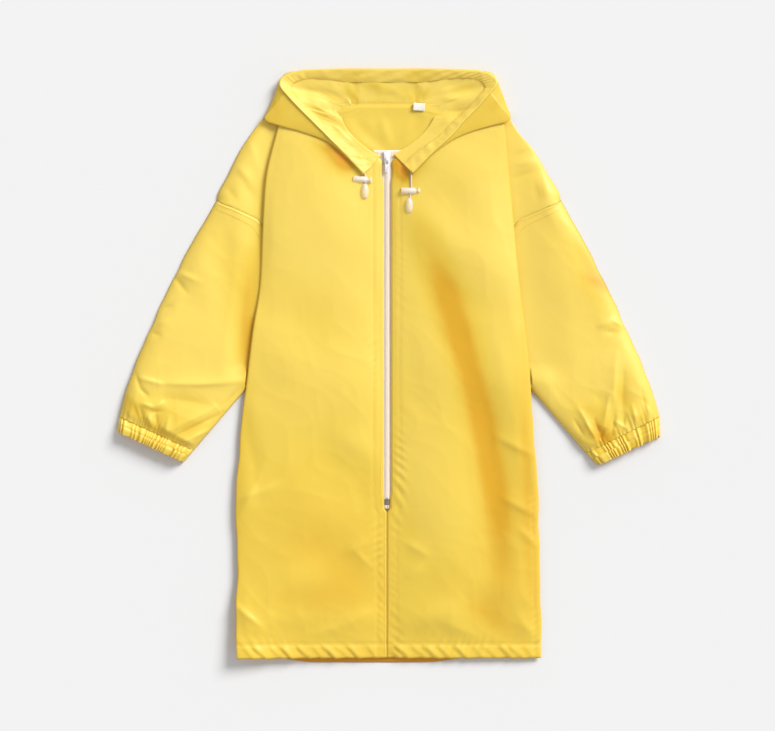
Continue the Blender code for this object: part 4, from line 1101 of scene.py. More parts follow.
@dataclass
class Back:
    """The back panel on the ground: its inside shows at the neck and its hem below the fronts."""

    form: CoatForm
    wall: float = 0.6
    hem_y: float = -385.0
    columns: int = 90
    rows: int = 150
    cut: tuple[float, float] = (0.445, 0.722)
    cut_area: float = 0.272

    def _half(self, side: Side, y: Array) -> Array:
        """Half width: inside the side fold, then the armhole, the shoulder and the neck."""
        form = self.form
        low = form.fold(side, y) - 1.0 - 3.0 * ease((y - form.armpit_y + 30.0) / 30.0)
        high = form.seams(side.word, y) - 0.3
        corner = 36.0 * (1.0 - dome((y - self.hem_y) / 9.0))
        shoulder = 93.0 * ease((y - form.top_y) / (form.neck_y - form.top_y))
        half = np.where(y < form.armpit_y, low, high)
        return half - corner - shoulder

    def height(self, x: Array, y: Array) -> Array:
        """Height of the panel: flat on the ground, a little raised where it shows at the neck."""
        near_neck = ease((y - 250.0) / 40.0) * np.exp(-(x / 70.0) ** 4)
        folds = creases((-12, 326, 2, 286, 7, 2.0, 0.3), (-40, 330, -14, 300, 9, 0.9),
                        (30, 318, 16, 288, 8, 1.0), (-4, 334, -22, 300, 6, -0.7))
        lip = np.exp(-((y - self.hem_y - 4.0) / 4.0) ** 2) * (0.5 + 0.3 * np.sin(x / 9.0))
        reach = np.abs(x - self.form.zip_x)
        to_edge = ease((reach - self.form.neck("reach", np.clip(y, 270.0, 320.0)) + 24.0) / 22.0)
        top = 0.9 * ease((y - 322.0) / 14.0)
        return 0.35 + near_neck * (0.8 + relief(folds, x, y) + 3.2 * to_edge * (y < 334.0)) + top + lip

    def surface(self, across: Array, along: Array) -> Array:
        """The panel from its left edge to its right edge, hem to neck."""
        y = self.hem_y + (self.form.neck_y + 3.0 - self.hem_y) * along
        left, right = -self._half(Side.LEFT, y), self._half(Side.RIGHT, y)
        x = left + (right - left) * across
        y = y + 11.0 * ease((np.abs(x + 24.0) - 66.0) / 100.0) * np.exp(-(y - self.hem_y) / 12.0)
        z = np.maximum(self.height(x, y), 0.3)
        # Tone: 0.5 below the neck and 0.3 at it, with painted shade on the hem strip that shows below the fronts.
        return np.stack((x, y, z, np.where(y < 240.0, 0.5, 0.3) + 1.3 * (y < -374.0)), axis=-1)

    def build(self) -> bpy.types.Object:
        """Makes the panel."""
        bm = bmesh.new()
        grid_mesh(bm, self.columns, self.rows, self.surface, self.cut)
        piece = make_object(bm, "back_cloth", NYLON)
        give_wall(piece, self.wall)
        join_coat(piece, NYLON_SLOT, "back_panel")
        return piece


# ---- sleeves and cuffs ----------------------------------------------------------------------------------


@dataclass
class Sleeve:
    """A flattened sleeve from the dropped shoulder seam to the cuff, under the front's pleat."""

    form: CoatForm
    side: Side
    wall: float = 0.6
    columns: int = 150
    rows: int = 130
    over: float = 0.62
    length: float = 260.0
    cut: tuple[float, float] = (0.42, 0.30)
    cut_area: float = 0.078

    @property
    def cuff_inner(self) -> Array:
        """Inner end of the cuff seam."""
        inner = {Side.LEFT: (253.5, -109.2), Side.RIGHT: (256.0, -113.0)}[self.side]
        return np.array(inner)

    @property
    def cuff_outer(self) -> Array:
        """Outer end of the cuff seam."""
        y = self.form.outers.keys[0]
        return np.array((float(self.form.outers(self.side.word, y)), y))

    def plan(self, across: Array, along: Array) -> tuple[Array, Array]:
        """Reach and y of a place on the sleeve.

        Args:
            across: 0 at the underarm edge to 1 at the outer edge.
            along: 0 at the armhole to 1 at the cuff seam.
        """
        form = self.form
        seam_y = form.armpit_y + (form.seam_outer_y - form.armpit_y) * np.linspace(0.0, 1.0, 161)
        seam_x = form.seams(self.side.word, seam_y)
        lengths = np.concatenate(([0.0], np.cumsum(np.hypot(np.diff(seam_x), np.diff(seam_y)))))
        place = across * lengths[-1]
        on_x, on_y = np.interp(place, lengths, seam_x), np.interp(place, lengths, seam_y)
        start = np.array((seam_x[0], seam_y[0]))
        outer_y = form.seam_outer_y + (self.cuff_outer[1] - form.seam_outer_y) * along
        outer_x = form.outers(self.side.word, outer_y)
        outer_x = outer_x + (0.6 * np.sin(outer_y / 11.0) + 0.5 * np.sin(outer_y / 5.3)) * np.sin(np.pi * along)
        under_x = start[0] + (self.cuff_inner[0] - start[0]) * along
        under_y = start[1] + (self.cuff_inner[1] - start[1]) * along
        fade = (1.0 - along) ** 3
        straight_x = seam_x[0] + (seam_x[-1] - seam_x[0]) * across
        straight_y = seam_y[0] + (seam_y[-1] - seam_y[0]) * across
        reach = under_x + (outer_x - under_x) * across + (on_x - straight_x) * fade
        y = under_y + (outer_y - under_y) * across + (on_y - straight_y) * fade
        return reach + 0.25 * fade, y - 0.25 * fade

    def top(self, reach: Array, y: Array) -> Array:
        """Height of the sleeve's top layer."""
        (sx, sy), (ex, ey) = (self.form.seams(self.side.word, self.form.armpit_y), self.form.armpit_y), \
            self.cuff_inner
        length = math.hypot(ex - sx, ey - sy)
        off = ((reach - sx) * -(ey - sy) + (y - sy) * (ex - sx)) / length
        z = self.form.arm_height(self.side, reach, y, off)
        cap = self.form.fold_top(y) - self.form.fold_lift - 1.3
        near = reach < self.form.fold(self.side, y) + 2.5
        return np.where((y > self.form.armpit_y) & near, np.minimum(z, cap), z)

    def gather(self, across: Array, along: Array) -> Array:
        """Gathers that run up from the elastic, dying away into the sleeve."""
        wave = np.sin(2 * np.pi * (across * 17.0 + 0.8 * np.sin(across * 9.0) + 0.4 * np.sin(across * 26.0)))
        reach = 0.045 * (1.0 + 0.7 * np.sin(across * 31.0 + self.side.value))
        return wave * np.exp(-((1.0 - along) / reach) ** 2)

    def surface(self, around: Array, along: Array) -> Array:
        """The tube: over the top for the first half of the way round, back along the ground."""
        top = around <= self.over
        over = np.clip(around / self.over, 0.0, 1.0)
        back = np.clip((around - self.over) / (1.0 - self.over), 0.0, 1.0)
        across = np.where(top, over, 1.0 - back)
        reach, y = self.plan(across, along)
        z_top = self.top(reach, y) + self.gather(across, along) * np.sin(np.pi * across) ** 0.5
        seam_off = along * self.length
        z_top = z_top + 0.8 * puckers(seam_off - 4.0, reach, 9.0, 0.5, 6.0, 3.0) * np.sin(np.pi * across)
        rounded = dome((0.5 - np.abs(across - 0.5)) / 0.14)
        cuff = 1.6 + rounded * 4.2 + self.gather(across, along) * 0.6
        z_top = z_top + (cuff - z_top) * ease((along - 0.93) / 0.07)
        z_top = z_top - 0.5 * np.exp(-seam_off / 1.4)
        z_top = z_top + self.form.cuff_lift[self.side] * rounded * ease(along * 1.6 - 0.6)
        z = np.where(top, np.maximum(z_top, 1.2), 0.4)
        return np.stack((self.side.value * reach, y, z, self.form.arm_tone(self.side, reach, y)), axis=-1)

    def build(self) -> bpy.types.Object:
        """Makes the sleeve as a closed tube, open at both ends."""
        bm = bmesh.new()
        grid_mesh(bm, self.columns, self.rows, self.surface, self.cut)
        bmesh.ops.remove_doubles(bm, verts=bm.verts, dist=MEETING)
        word = self.side.word
        piece = cloth_piece(bm, "sleeve_cloth_" + word, NYLON, self.wall, NYLON_SLOT, "sleeve_" + word)
        return piece

    def sew(self) -> bpy.types.Object:
        """Two rows of stitches below the dropped shoulder seam."""
        rows = Stitching("sleeve_stitching_" + self.side.word)
        across = np.linspace(0.70, 0.985, 90)
        for along in (0.008, 0.028):
            reach, y = self.plan(across, np.full_like(across, along))
            z = self.top(reach, y) + self.wall / 2 + 0.15
            keep = reach > self.form.fold(self.side, y) + 3.0
            rows.row(np.stack((self.side.value * reach, y, z), axis=-1)[keep])
        return rows.finish()


@dataclass
class CuffBand:
    """An elastic cuff: a ruffled band round the sleeve's end, gathered on its elastic."""

    form: CoatForm
    side: Side
    sleeve: Sleeve
    wall: float = 0.6
    over: float = 0.58
    columns: int = 300
    rows: int = 20
    cut: tuple[float, float] = (0.26, 0.021)

    def surface(self, around: Array, along: Array) -> Array:
        """The band from the cuff seam (along 0) over the elastic to its frilled edge (along 1)."""
        corners = {Side.LEFT: ((266.5, -124.5), (352.3, -84.6)),
                   Side.RIGHT: ((271.0, -128.5), (352.4, -90.6))}[self.side]
        inner, outer = self.sleeve.cuff_inner, self.sleeve.cuff_outer
        free_inner, free_outer = (np.array(corner) for corner in corners)
        over = np.clip(around / self.over, 0.0, 1.0)
        back = np.clip((around - self.over) / (1.0 - self.over), 0.0, 1.0)
        top = around <= self.over
        across = np.where(top, over, 1.0 - back)
        seed = 0.7 if self.side is Side.LEFT else 2.3
        gathers = 19.0 if self.side is Side.LEFT else 15.0
        phase = 2 * np.pi * (across * gathers + 0.7 * np.sin(across * 11.0 + seed)
                             + 0.35 * np.sin(across * 31.0 + 2.0 * seed))
        lower = ease((along - 0.38) / 0.2)
        wave = (1.0 - lower) * np.sin(phase) + lower * np.sin(phase * 1.06 + 1.7 + 0.8 * np.sin(across * 19.0))
        fullness = 0.72 + 0.28 * np.sin(across * 27.0 + 3.0 * seed)
        sharp = wave * fullness
        start = inner + (outer - inner) * across[:, None]
        end = free_inner + (free_outer - free_inner) * across[:, None]
        down = (end - start)
        slide = along[:, None] * (1.0 + 0.06 * (sharp * along)[:, None])
        spot = start + down * slide
        rounded = dome((0.5 - np.abs(across - 0.5)) / 0.14)
        swelling = 4.6 + 3.0 * np.sin(np.pi * along) + 1.6 * along
        z_top = 1.6 + rounded * (self.form.cuff_lift[self.side] + swelling + sharp * (1.35 + 0.5 * along))
        pinch = np.exp(-((along - 0.06) / 0.06) ** 2) + 0.9 * np.exp(-((along - 0.47) / 0.07) ** 2)
        z_top = z_top - pinch * rounded * 0.9
        z = np.where(top, np.maximum(z_top, 1.2), 0.45 + 0.12 * (1 + sharp))
        # Painted shade in the troughs of the gathers.
        deep = np.clip(0.3 - 0.3 * sharp, 0.0, 0.7) * top
        return np.stack((self.side.value * spot[:, 0], spot[:, 1], z, deep), axis=-1)

    def build(self) -> bpy.types.Object:
        """Makes the cuff."""
        bm = bmesh.new()
        grid_mesh(bm, self.columns, self.rows, self.surface, self.cut)
        bmesh.ops.remove_doubles(bm, verts=bm.verts, dist=MEETING)
        word = self.side.word
        piece = cloth_piece(bm, "cuff_cloth_" + word, NYLON, self.wall, NYLON_SLOT, "cuff_" + word)
        return piece


# ---- hood -----------------------------------------------------------------------------------------------

HOOD_COLUMNS = "rim_x rim_y neck_x neck_y fold_x fold_y lift lap"
HOOD_ROWS: tuple[tuple[float, ...], ...] = (
    (-32.5, 248.3, -11.7, 271.7, -33.5, 247.4, 13.5, 1.0),
    (-53.3, 270.4, -29.9, 282.0, -54.5, 269.4, 14.6, 1.0),
    (-76.7, 293.8, -44.0, 294.5, -80.0, 290.5, 15.4, 1.0),
    (-97.5, 314.6, -56.0, 308.0, -114.4, 304.2, 15.8, 1.0),
    (-118.3, 335.4, -62.5, 322.0, -139.1, 311.6, 15.6, 1.0),
    (-132.6, 351.0, -64.5, 331.5, -159.9, 320.6, 15.8, 0.8),
    (-140.4, 361.4, -62.5, 336.7, -153.0, 340.5, 13.4, 0.0),
    (-140.9, 369.2, -59.0, 336.7, -146.0, 357.8, 11.6, 0.0),
    (-134.4, 376.2, -55.0, 336.7, -136.6, 377.8, 10.4, 0.0),
    (-115.7, 382.2, -51.0, 336.7, -116.4, 383.0, 9.4, 0.0),
    (-83.2, 384.2, -47.5, 336.7, -83.4, 384.6, 8.8, 0.0),
    (-44.2, 384.6, -44.2, 336.7, -44.2, 385.0, 8.6, 0.0),
    (-4.5, 384.6, -4.5, 336.7, -4.5, 385.0, 8.8, 0.0),
    (35.1, 384.6, 35.1, 336.7, 35.1, 385.0, 8.6, 0.0),
    (82.0, 384.2, 40.5, 336.7, 82.2, 384.6, 8.8, 0.0),
    (116.3, 382.4, 47.0, 336.7, 117.0, 383.4, 9.4, 0.0),
    (132.8, 376.8, 54.0, 336.7, 135.4, 378.4, 10.4, 0.0),
    (139.6, 369.2, 59.0, 336.7, 145.0, 357.8, 11.6, 0.0),
    (138.2, 362.5, 63.0, 336.7, 151.4, 340.5, 13.4, 0.0),
    (128.7, 351.0, 64.0, 333.0, 156.0, 320.6, 15.8, 0.8),
    (115.7, 335.4, 60.0, 323.7, 132.6, 312.2, 15.6, 1.0),
    (97.5, 317.2, 52.5, 310.7, 108.5, 304.8, 15.8, 1.0),
    (80.6, 297.7, 41.5, 297.7, 84.5, 294.0, 15.4, 1.0),
    (55.9, 275.6, 25.5, 285.0, 57.0, 274.6, 14.6, 1.0),
    (29.9, 249.6, 6.5, 274.3, 30.8, 248.6, 13.5, 1.0),
)
# Painted shade inside the hood, along its folds and under its face edge; a negative lift paints light.
HOOD_PAINTED_SHADE: list[Crease] = creases(
    (-62, 370, -40, 340, 8, 0.7), (-36, 366, 8, 358, 9, 0.7), (14, 362, 34, 344, 9, 0.5),
    (-92, 356, -58, 346, 6, 0.5), (52, 362, 40, 344, 7, 0.6), (-44, 344, 30, 341, 5, 0.35),
    (-106, 330, -58, 310, 7, 0.6), (-110, 352, -60, 356, 8, -0.2), (60, 350, 112, 360, 12, 0.3),
    (84, 330, 60, 306, 8, 0.4),
    (-80, 300, -30, 268, 8, 0.3), (80, 302, 30, 262, 8, 0.4),
)
HOOD_CREASES: list[Crease] = creases(
    (-110, 333, -58, 312, 5, -2.6, 0.3), (-104, 340, -54, 318, 5, 2.4, -0.3),
    (-40, 352, -58, 340, 4, 1.8), (40, 356, 34, 340, 4, -1.6), (-96, 352, -84, 330, 5, 1.8),
    (88, 352, 70, 330, 5, 1.8, 0.3), (104, 344, 78, 316, 5, -1.8), (66, 318, 48, 298, 5, 1.8),
    (-70, 314, -52, 292, 5, 2.0), (-58, 290, -34, 276, 4, -1.6), (56, 292, 30, 270, 5, 1.6),
    (-122, 352, -62, 338, 9, 2.6, 0.3), (-130, 362, -70, 352, 8, -2.4),
    (-112, 330, -66, 334, 8, -2.2), (-92, 322, -58, 318, 9, 2.2),
    (-104, 364, -40, 358, 10, 2.0), (-74, 300, -52, 308, 7, -1.6),
    (-30, 366, 30, 352, 9, 1.4), (-10, 344, 26, 362, 8, -1.2),
    (120, 354, 66, 342, 9, 2.6, -0.3), (128, 364, 72, 354, 8, -2.2),
    (108, 332, 64, 330, 8, -2.2), (92, 318, 56, 316, 9, 2.0),
    (60, 366, 92, 346, 8, 1.8), (72, 300, 46, 306, 7, -1.6),
    (-152, 344, -138, 322, 5, -2.2, 0.3), (-146, 330, -118, 318, 5, 1.8),
    (146, 346, 132, 330, 5, -2.0, 0.3), (150, 330, 124, 316, 5, 1.6),
)


@dataclass
class Hood:
    """The open hood: two side pieces and a centre strip, and the drawcord casing on its face edge."""

    form: CoatForm
    wall: float = 0.6
    casing_depth: float = 17.0
    seam_starts: tuple[float, float] = (11 / 24, 13 / 24)
    face_length: float = 600.0
    stitch_place: float = 0.93
    hood_grid: tuple[int, int] = (76, 330)
    casing_grid: tuple[int, int] = (16, 260)
    hood_cut: tuple[float, float] = (0.098, 0.42)
    hood_area: float = 0.0370
    casing_cut: tuple[float, float] = (0.52, 0.019)

    def rows_at(self, along: Array) -> dict[str, Array]:
        """The hood's section values at places along its face edge, 0 at the left tip to 1 at the right."""
        table = np.array(HOOD_ROWS)
        found = through(table, along)
        return {name: found[:, k] for k, name in enumerate(HOOD_COLUMNS.split())}

    def ground(self, x: Array, y: Array) -> Array:
        """Height of the cloth under the hood at a place."""
        high = np.full_like(x, 0.8)
        for side in Side:
            reach = side.value * x
            on = (reach > self.form.front_edge(side, y) - 6.0) & (y < self.form.top_y + 2.0)
            on &= reach < self.form.seams(side.word, y)
            fold = self.form.fold(side, y)
            body = self.form.body_height(side, np.minimum(reach, fold), np.minimum(y, self.form.top_y))
            high = np.where(on, body + 0.5, high)
        return high

    def inner_face(self, share: Array, along: Array) -> Array:
        """The hood's inner face, from the neck seam (share 0) to the face edge (share 1)."""
        row = self.rows_at(along)
        x = row["neck_x"] + (row["rim_x"] - row["neck_x"]) * share
        y = row["neck_y"] + (row["rim_y"] - row["neck_y"]) * share
        start = self.ground(row["neck_x"], row["neck_y"] - 1.0) * row["lap"] + 1.25
        bend = 3.2 - 0.7 * row["lap"]
        z = start + (row["lift"] - start) * (0.24 * share + 0.76 * share**bend)
        free = np.sin(np.pi * np.clip(share, 0.0, 1.0))
        loose = 0.7 * swell(x * 1.6, y * 1.6, 3.3) + 1.5 * crackle(x * 1.2, y * 1.2, 1.2)
        seam = puckers(share * 60.0 - 4.0, x, 8.0, 0.6, 8.0, 1.4) * ease((0.09 - np.abs(along - 0.5)) / 0.03)
        z = z + (relief(HOOD_CREASES, x, y) + loose) * free + 0.7 * seam * ease(share / 0.04)
        return np.stack((x, y, np.maximum(z, self.ground(x, y) + 0.9)), axis=-1)

    def path(self, across: Array, along: Array) -> Array:
        """A section of the hood: neck seam, inner face, face edge, outer wall, cloth turned under."""
        row = self.rows_at(along)
        zero = np.zeros_like(along)
        inner = [self.inner_face(zero + share, along) for share in (0.0, 0.15, 0.3, 0.45, 0.6, 0.75, 0.9)]
        turned = self.inner_face(zero + 0.05, along) - np.array((0.0, 0.0, 0.95))
        edge = inner[0] - np.array((0.0, 0.0, 0.5))
        rim = np.stack((row["rim_x"], row["rim_y"], row["lift"]), axis=-1)
        inward = np.stack((row["neck_x"] - row["rim_x"], row["neck_y"] - row["rim_y"], zero), axis=-1)
        inward /= np.linalg.norm(inward, axis=1)[:, None]
        stops = [turned, edge + inward * 0.35, *inner]
        fold = np.stack((row["fold_x"], row["fold_y"], zero), axis=-1)
        tucked = fold + inward * 9.0
        floor = np.maximum(self.ground(fold[:, 0], fold[:, 1]), self.ground(tucked[:, 0], tucked[:, 1]))
        narrow = np.linalg.norm(fold[:, :2] - rim[:, :2], axis=1) < 6.0
        low = np.where(row["lap"] > 0.5, floor + 0.8, 0.6)
        low = np.where(narrow & (row["lap"] > 0.5), np.maximum(low, row["lift"] - 5.6), low)
        up = np.array((0.0, 0.0, 1.0))
        gap = row["lift"] - low
        outer_relief = relief(HOOD_CREASES, fold[:, 0], fold[:, 1])
        middle = (rim * 0.45 + fold * 0.55)
        stops.append(rim)
        stops.append(rim - inward * 0.5 - up * np.minimum(gap * 0.18, 1.2)[:, None])
        stops.append(np.stack((middle[:, 0], middle[:, 1], low + gap * 0.62 + outer_relief * 0.4), axis=-1))
        stops.append(np.stack((fold[:, 0], fold[:, 1], low + gap * 0.30), axis=-1))
        stops.append(fold + inward * 0.5 + up * (low + np.minimum(gap * 0.06, 0.5))[:, None])
        stops.append(fold + inward * 3.0 + up * low[:, None])
        stops.append(tucked + up * low[:, None])
        return through(np.array(stops), across)

    def surface(self, across: Array, along: Array) -> Array:
        """The whole hood, from its neck edge out over the face edge (across), left tip to right tip (along)."""
        point = self.path(across, along)
        point[:, 2] = np.maximum(point[:, 2], 0.35)
        x, y = point[:, 0], point[:, 1]
        seam = sum(np.exp(-((along - s) * self.face_length / 4.0) ** 2) for s in self.seam_starts)
        outer = ease((across - 0.60) / 0.05)
        point[:, 2] -= 0.5 * seam * (1.0 - outer) * ease(across / 0.2)
        # Painted shade in the troughs of the creases and in the streaks inside; darker seam lines; deeper colour on
        # the outer wall.
        deep = np.clip(-relief(HOOD_CREASES, x, y) / 10.0, -0.1, 0.3)
        inside = relief(HOOD_PAINTED_SHADE, x, y) + 0.3 * seam
        tone = -0.12 + deep + 0.62 * outer + inside * (1.0 - outer)
        return np.concatenate((point, tone[:, None]), axis=1)

    def casing(self, across: Array, along: Array) -> Array:
        """The casing: from just outside the face edge, over it, to its stitched inner edge."""
        row = self.rows_at(along)
        reach = np.hypot(row["neck_x"] - row["rim_x"], row["neck_y"] - row["rim_y"])
        depth = -0.9 + (self.casing_depth + 0.9) * across
        share = 1.0 - np.maximum(depth, 0.0) / reach
        point = self.inner_face(share, along)
        inward = np.stack((row["neck_x"] - row["rim_x"], row["neck_y"] - row["rim_y"]), axis=-1)
        inward /= np.linalg.norm(inward, axis=1)[:, None]
        point[:, :2] += inward * np.minimum(depth, 0.0)[:, None]
        length = along * self.face_length
        puff = 0.35 + 0.45 * np.exp(-((along - 0.5) / 0.11) ** 4)
        plump = 1.0 - 1.3 * across**4 + puff * np.sin(np.pi * across) ** 0.5 - 1.6 * ease(-depth / 0.9)
        across_folds = lapped(length / 9.0 + 0.05 * depth + 1.3 * np.sin(length / 26.0) + 0.7 * np.sin(length / 11.0))
        plump = plump + 0.22 * across_folds * (0.5 + 0.5 * np.sin(length / 41.0 + 1.0)) * np.sin(np.pi * across)
        uneven = length + 9.0 * np.sin(length / 31.0)
        gathers = 0.6 * puckers(depth - 0.6 * self.casing_depth, uneven, 15.0, 0.9, 13.0, 0.9)
        gathers = gathers + 1.3 * crackle(point[:, 0] * 1.5, point[:, 1] * 1.5, 2.0)
        point[:, 2] += plump + np.maximum(gathers, -0.3) * ease(depth / 3.0)
        seam = sum(np.exp(-((along - s) * self.face_length / 13.0) ** 2) for s in self.seam_starts)
        tone = -0.06 + 0.1 * np.sin(length / 17.0) + 0.35 * seam
        return np.concatenate((point, tone[:, None]), axis=1)

    def build(self) -> None:
        """Makes the hood, its three pieces sewn into one sheet, and the casing."""
        bm = bmesh.new()
        grid_mesh(bm, *self.hood_grid, self.surface, self.hood_cut)
        piece = cloth_piece(bm, "hood_cloth", NYLON, self.wall, NYLON_SLOT, "hood_left", "hood_centre",
                            "hood_right")
        bm = bmesh.new()
        grid_mesh(bm, *self.casing_grid, self.casing, self.casing_cut)
        piece = cloth_piece(bm, "hood_casing_cloth", NYLON, self.wall, NYLON_SLOT, "hood_casing")

    def sew(self) -> None:
        """Stitches the casing and the neck seam."""
        rows = Stitching("hood_stitching")
        along = np.linspace(0.004, 0.996, 700)
        line = self.casing(np.full_like(along, self.stitch_place), along)[:, :3]
        rows.row(line + np.array((0.0, 0.0, self.wall / 2 + 0.15)))
        for share in (0.03, 0.12):
            inner = np.linspace(0.16, 0.84, 500)
            line = self.inner_face(np.full_like(inner, share), inner)
            rows.row(line + np.array((0.0, 0.0, self.wall / 2 + 0.1)))
        rows.finish()


# ---- zip, label and cords -------------------------------------------------------------------------------


@dataclass
class Zip:
    """The front zip: two tapes, interlocked teeth, a bottom stop, and the slider with its pull tab."""

    form: CoatForm
    tape_width: float = 13.8
    tape_z: float = 2.3
    wall: float = 0.7
    pitch: float = 1.55
    tooth: tuple[float, float, float] = (2.5, 0.85, 1.1)
    cut: tuple[float, float] = (0.0138, 0.463)

    def tape(self, side: Side) -> None:
        """One tape, with a thicker cord along its toothed edge and its top end turned out."""
        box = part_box("zip_tape_" + side.word)
        low, high = box[0][1] / MM, box[1][1] / MM

        def shape(across: Array, along: Array) -> Array:
            """Places on the tape."""
            y = low + (high + 1.5 - low) * along
            flare = 5.0 * ease((y - 268.0) / 12.0)
            x = form_x + side.value * (0.25 + self.tape_width * across + flare * (across - 0.1))
            z = self.tape_z + 0.8 * np.exp(-((across - 0.06) / 0.08) ** 2) + 1.2 * ease((y - 270.0) / 12.0)
            return np.stack((x, y, z, np.zeros_like(x)), axis=-1)

        form_x = self.form.zip_x
        bm = bmesh.new()
        grid_mesh(bm, 14, 150, shape, self.cut)
        piece = cloth_piece(bm, "zip_tape_cloth_" + side.word, WovenTape(), self.wall, "zip_tape",
                            "zip_tape_" + side.word)

    def teeth(self) -> None:
        """Interlocked coil teeth, alternately from each side."""
        low, high = (corner[1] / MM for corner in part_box("zip_coil"))
        bm = bmesh.new()
        z = self.tape_z + self.wall / 2 + 0.9
        for k, y in enumerate(np.arange(low + 1.0, high - 1.0, self.pitch / 2)):
            sign = -1.0 if k % 2 else 1.0
            made = bmesh.ops.create_cube(bm, size=1.0)["verts"]
            for vert in made:
                if vert.co.x * sign < 0.0:
                    vert.co.y *= 1.25
                if vert.co.z > 0.0:
                    vert.co.y *= 0.62
                    vert.co.x *= 0.86
            centre = Vector((self.form.zip_x + sign * 0.95, y, z))
            matrix = Matrix.Scale(MM, 4) @ Matrix.Translation(centre) @ Matrix.Diagonal((*self.tooth, 1.0))
            bmesh.ops.transform(bm, matrix=matrix, verts=made)
        piece = make_object(bm, "zip_teeth", CoilNylon(), smooth=False)
        join_coat(piece, "zip_coil", "zip_coil")

    def stop(self) -> None:
        """A crimped metal stop: a bar with two raised lugs."""
        low, high = (Vector(corner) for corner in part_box("zip_bottom_stop"))
        size, centre = high - low, (high + low) / 2
        bm = bmesh.new()
        for shift, share, lift in ((0.0, (0.92, 0.92, 0.55), 0.0), (0.28, (0.96, 0.22, 0.95), 0.25),
                                   (-0.28, (0.96, 0.22, 0.95), 0.25)):
            made = bmesh.ops.create_cube(bm, size=1.0)["verts"]
            place = centre + Vector((0.0, size.y * shift, size.z * lift * 0.2))
            scale = Matrix.Diagonal((size.x * share[0], size.y * share[1], size.z * share[2], 1.0))
            bmesh.ops.transform(bm, matrix=Matrix.Translation(place) @ scale, verts=made)
        bmesh.ops.bevel(bm, geom=bm.edges, offset=0.0003, segments=2, profile=0.5, affect="EDGES", material=-1)
        join_coat(make_object(bm, "bottom_stop", DarkSteel()), "dark_steel", "zip_bottom_stop")

    def build(self) -> None:
        """Makes the zip and dresses the slider and its pull tab."""
        for side in Side:
            self.tape(side)
        self.teeth()
        self.stop()
        smooth_node("zip_slider", WhiteEnamel())
        smooth_node("zip_pull", WhiteEnamel(), "pull_tab")


WELD = 0.000005  # corners of a faceted solid nearer than this, in metres, are one
FLAT = 0.5       # facets that meet at less than this angle, in degrees, are one face


def smooth_node(node: str, finish: Finish, body: str = COAT, crease: float = 38.0) -> None:
    """Puts a smoothly shaded copy of a moulded or cast piece in its own place.

    Args:
        node: the model's node that the copy stands for.
        finish: its finish.
        body: the body that it moves with.
        crease: the angle in degrees past which an edge stays sharp.
    """
    source = bpy.data.objects[node]
    bm = bmesh.new()
    bm.from_mesh(source.data)
    bm.transform(source.matrix_world)
    bmesh.ops.remove_doubles(bm, verts=bm.verts, dist=WELD)
    bmesh.ops.dissolve_limit(bm, angle_limit=math.radians(FLAT), verts=bm.verts, edges=bm.edges)
    piece = make_object(bm, node + "_smooth", finish)
    piece.data.set_sharp_from_angle(angle=math.radians(crease))
    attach(piece, body)
    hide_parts(node)


@dataclass
class NeckLabel:
    """A blank woven label, caught in the neck seam."""

    cut: tuple[float, float] = (0.015, 0.0105)
    turn: float = -4.0

    def build(self) -> None:
        """Makes the label where the model has it."""
        low, high = (Vector(corner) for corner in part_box("neck_label"))
        centre = (low + high) / 2 / MM
        angle = math.radians(self.turn)

        def shape(across: Array, along: Array) -> Array:
            """Places on the label."""
            u = (across - 0.5) * self.cut[0] / MM
            v = (along - 0.5) * (self.cut[1] - 0.0005) / MM
            x = centre.x + u * math.cos(angle) - v * math.sin(angle)
            y = centre.y + u * math.sin(angle) + v * math.cos(angle)
            z = centre.z + 0.6 + 0.5 * np.sin(np.pi * along) + 0.3 * np.cos(across * 5.0)
            return np.stack((x, y, z, np.zeros_like(x)), axis=-1)

        bm = bmesh.new()
        grid_mesh(bm, 16, 12, shape, self.cut)
        piece = make_object(bm, "label_cloth", LabelTape())
        give_wall(piece, 0.35)
        join_coat(piece, "label_tape", "neck_label")


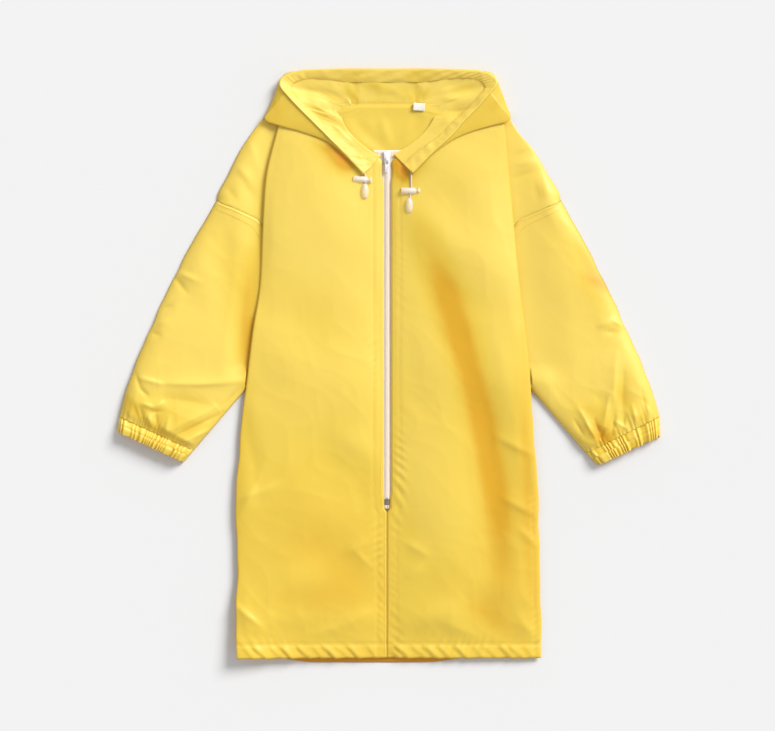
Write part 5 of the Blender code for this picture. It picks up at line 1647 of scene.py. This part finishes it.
@dataclass
class Drawcord:
    """A drawcord's free end: out of the casing, through its cord lock and into its bead."""

    side: Side
    diameter: float = 2.4

    @property
    def route(self) -> list[Vector]:
        """Places that the cord passes, in millimetres."""
        rows = {
            Side.LEFT: ((-47.4, 269.0, 10.7), (-41.0, 262.4, 10.7), (-35.4, 256.6, 10.7),
                        (-32.3, 252.2, 10.6), (-31.2, 248.0, 10.4), (-31.0, 243.5, 10.0),
                        (-31.1, 239.0, 9.9), (-31.2, 234.5, 9.9), (-31.2, 230.0, 9.9)),
            Side.RIGHT: ((47.0, 271.6, 10.7), (40.2, 264.6, 10.7), (33.0, 258.2, 10.7),
                         (29.4, 252.6, 10.6), (28.7, 245.4, 10.2), (28.8, 238.0, 9.9),
                         (28.9, 231.8, 9.8), (28.7, 226.8, 9.8), (27.6, 221.0, 9.9),
                         (26.6, 216.4, 9.9), (26.2, 212.0, 9.9)),
        }[self.side]
        return [Vector(row) for row in rows]

    def cord(self) -> bpy.types.Object:
        """Makes the cord as a round curve."""
        points = np.array([tuple(point) for point in self.route])
        line = through(points, np.linspace(0.0, 1.0, 34)) * MM
        curve = bpy.data.curves.new("drawcord_line_" + self.side.word, "CURVE")
        curve.dimensions = "3D"
        curve.bevel_depth = self.diameter / 2 * MM
        curve.bevel_resolution = 3
        curve.use_fill_caps = True
        spline = curve.splines.new("POLY")
        spline.points.add(len(line) - 1)
        for slot, point in zip(spline.points, line):
            slot.co = (*point, 1.0)
        piece = bpy.data.objects.new(curve.name, curve)
        bpy.context.scene.collection.objects.link(piece)
        curve.materials.append(BraidedCord().material())
        join_coat(piece, "drawcord", "drawcord_" + self.side.word)
        return piece

    def build(self) -> None:
        """Makes the lock, the bead and the cord through them."""
        word = self.side.word
        smooth_node("cord_lock_barrel_" + word, MilkyPlastic())
        smooth_node("cord_lock_plunger_" + word, MilkyPlastic(), word + "_plunger")
        smooth_node("cord_bead_" + word, MilkyPlastic())
        self.cord()


# ---- studio ---------------------------------------------------------------------------------------------


@dataclass
class Studio:
    """A pale floor, soft light from the upper right, and a camera straight above."""

    view_width: float = 1.0075
    centre: tuple[float, float] = (-0.00195, 0.00065)
    lens: float = 100.0
    sensor: float = 36.0
    key_power: float = 3.95
    key_place: tuple[float, float, float] = (1.0, 0.95, 0.92)
    key_spread: float = 26.0
    floor_reach: float = 6.0
    floor_z: float = -0.0002
    sky: float = 0.65

    def camera(self) -> None:
        """A long lens above the coat, looking straight down with the hood at the top."""
        data = bpy.data.cameras.new("camera")
        data.lens = self.lens
        data.sensor_width = self.sensor
        camera = bpy.data.objects.new("camera", data)
        camera.location = (*self.centre, self.view_width * self.lens / self.sensor)
        bpy.context.scene.collection.objects.link(camera)
        bpy.context.scene.camera = camera

    def light(self, name: str, place: tuple[float, float, float], spread: float, power: float) -> None:
        """A distant soft light from a direction, as wide as its spread in degrees."""
        data = bpy.data.lights.new(name, "SUN")
        data.angle = math.radians(spread)
        data.energy = power
        lamp = bpy.data.objects.new(name, data)
        lamp.location = place
        lamp.rotation_mode = "QUATERNION"
        lamp.rotation_quaternion = (-Vector(place)).to_track_quat("-Z", "Y")
        bpy.context.scene.collection.objects.link(lamp)

    def floor(self) -> None:
        """A large flat floor just under the coat."""
        bm = bmesh.new()
        bmesh.ops.create_grid(bm, x_segments=1, y_segments=1, size=self.floor_reach)
        bmesh.ops.translate(bm, vec=(0.0, 0.0, self.floor_z), verts=bm.verts)
        make_object(bm, "studio_floor", StudioPaper(), smooth=False)

    def build(self) -> None:
        """Sets up light, floor and sky."""
        self.floor()
        self.light("key_light", self.key_place, self.key_spread, self.key_power)
        world = bpy.data.worlds.new("sky")
        world.use_nodes = True
        background = world.node_tree.nodes["Background"]
        background.inputs["Color"].default_value = (1.0, 1.0, 1.0, 1.0)
        background.inputs["Strength"].default_value = self.sky
        bpy.context.scene.world = world
        bpy.context.scene.view_settings.view_transform = "Standard"


def corners(box: tuple[Vector, Vector]) -> list[list[float]]:
    """A box as plain lists."""
    return [list(map(float, corner)) for corner in box]


def main() -> None:
    """Builds the raincoat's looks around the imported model."""
    logging.basicConfig(level=logging.INFO, format="%(name)s: %(message)s")
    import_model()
    studio = Studio()
    studio.camera()
    for side in Side:
        Drawcord(side).build()
    form = CoatForm()
    Back(form).build()
    for side in Side:
        front = Front(form, side)
        front.build()
        front.sew()
        sleeve = Sleeve(form, side)
        sleeve.build()
        sleeve.sew()
        CuffBand(form, side, sleeve).build()
    hood = Hood(form)
    hood.build()
    hood.sew()
    Zip(form).build()
    NeckLabel().build()
    studio.build()
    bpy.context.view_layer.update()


if __name__ == "__main__":
    main()
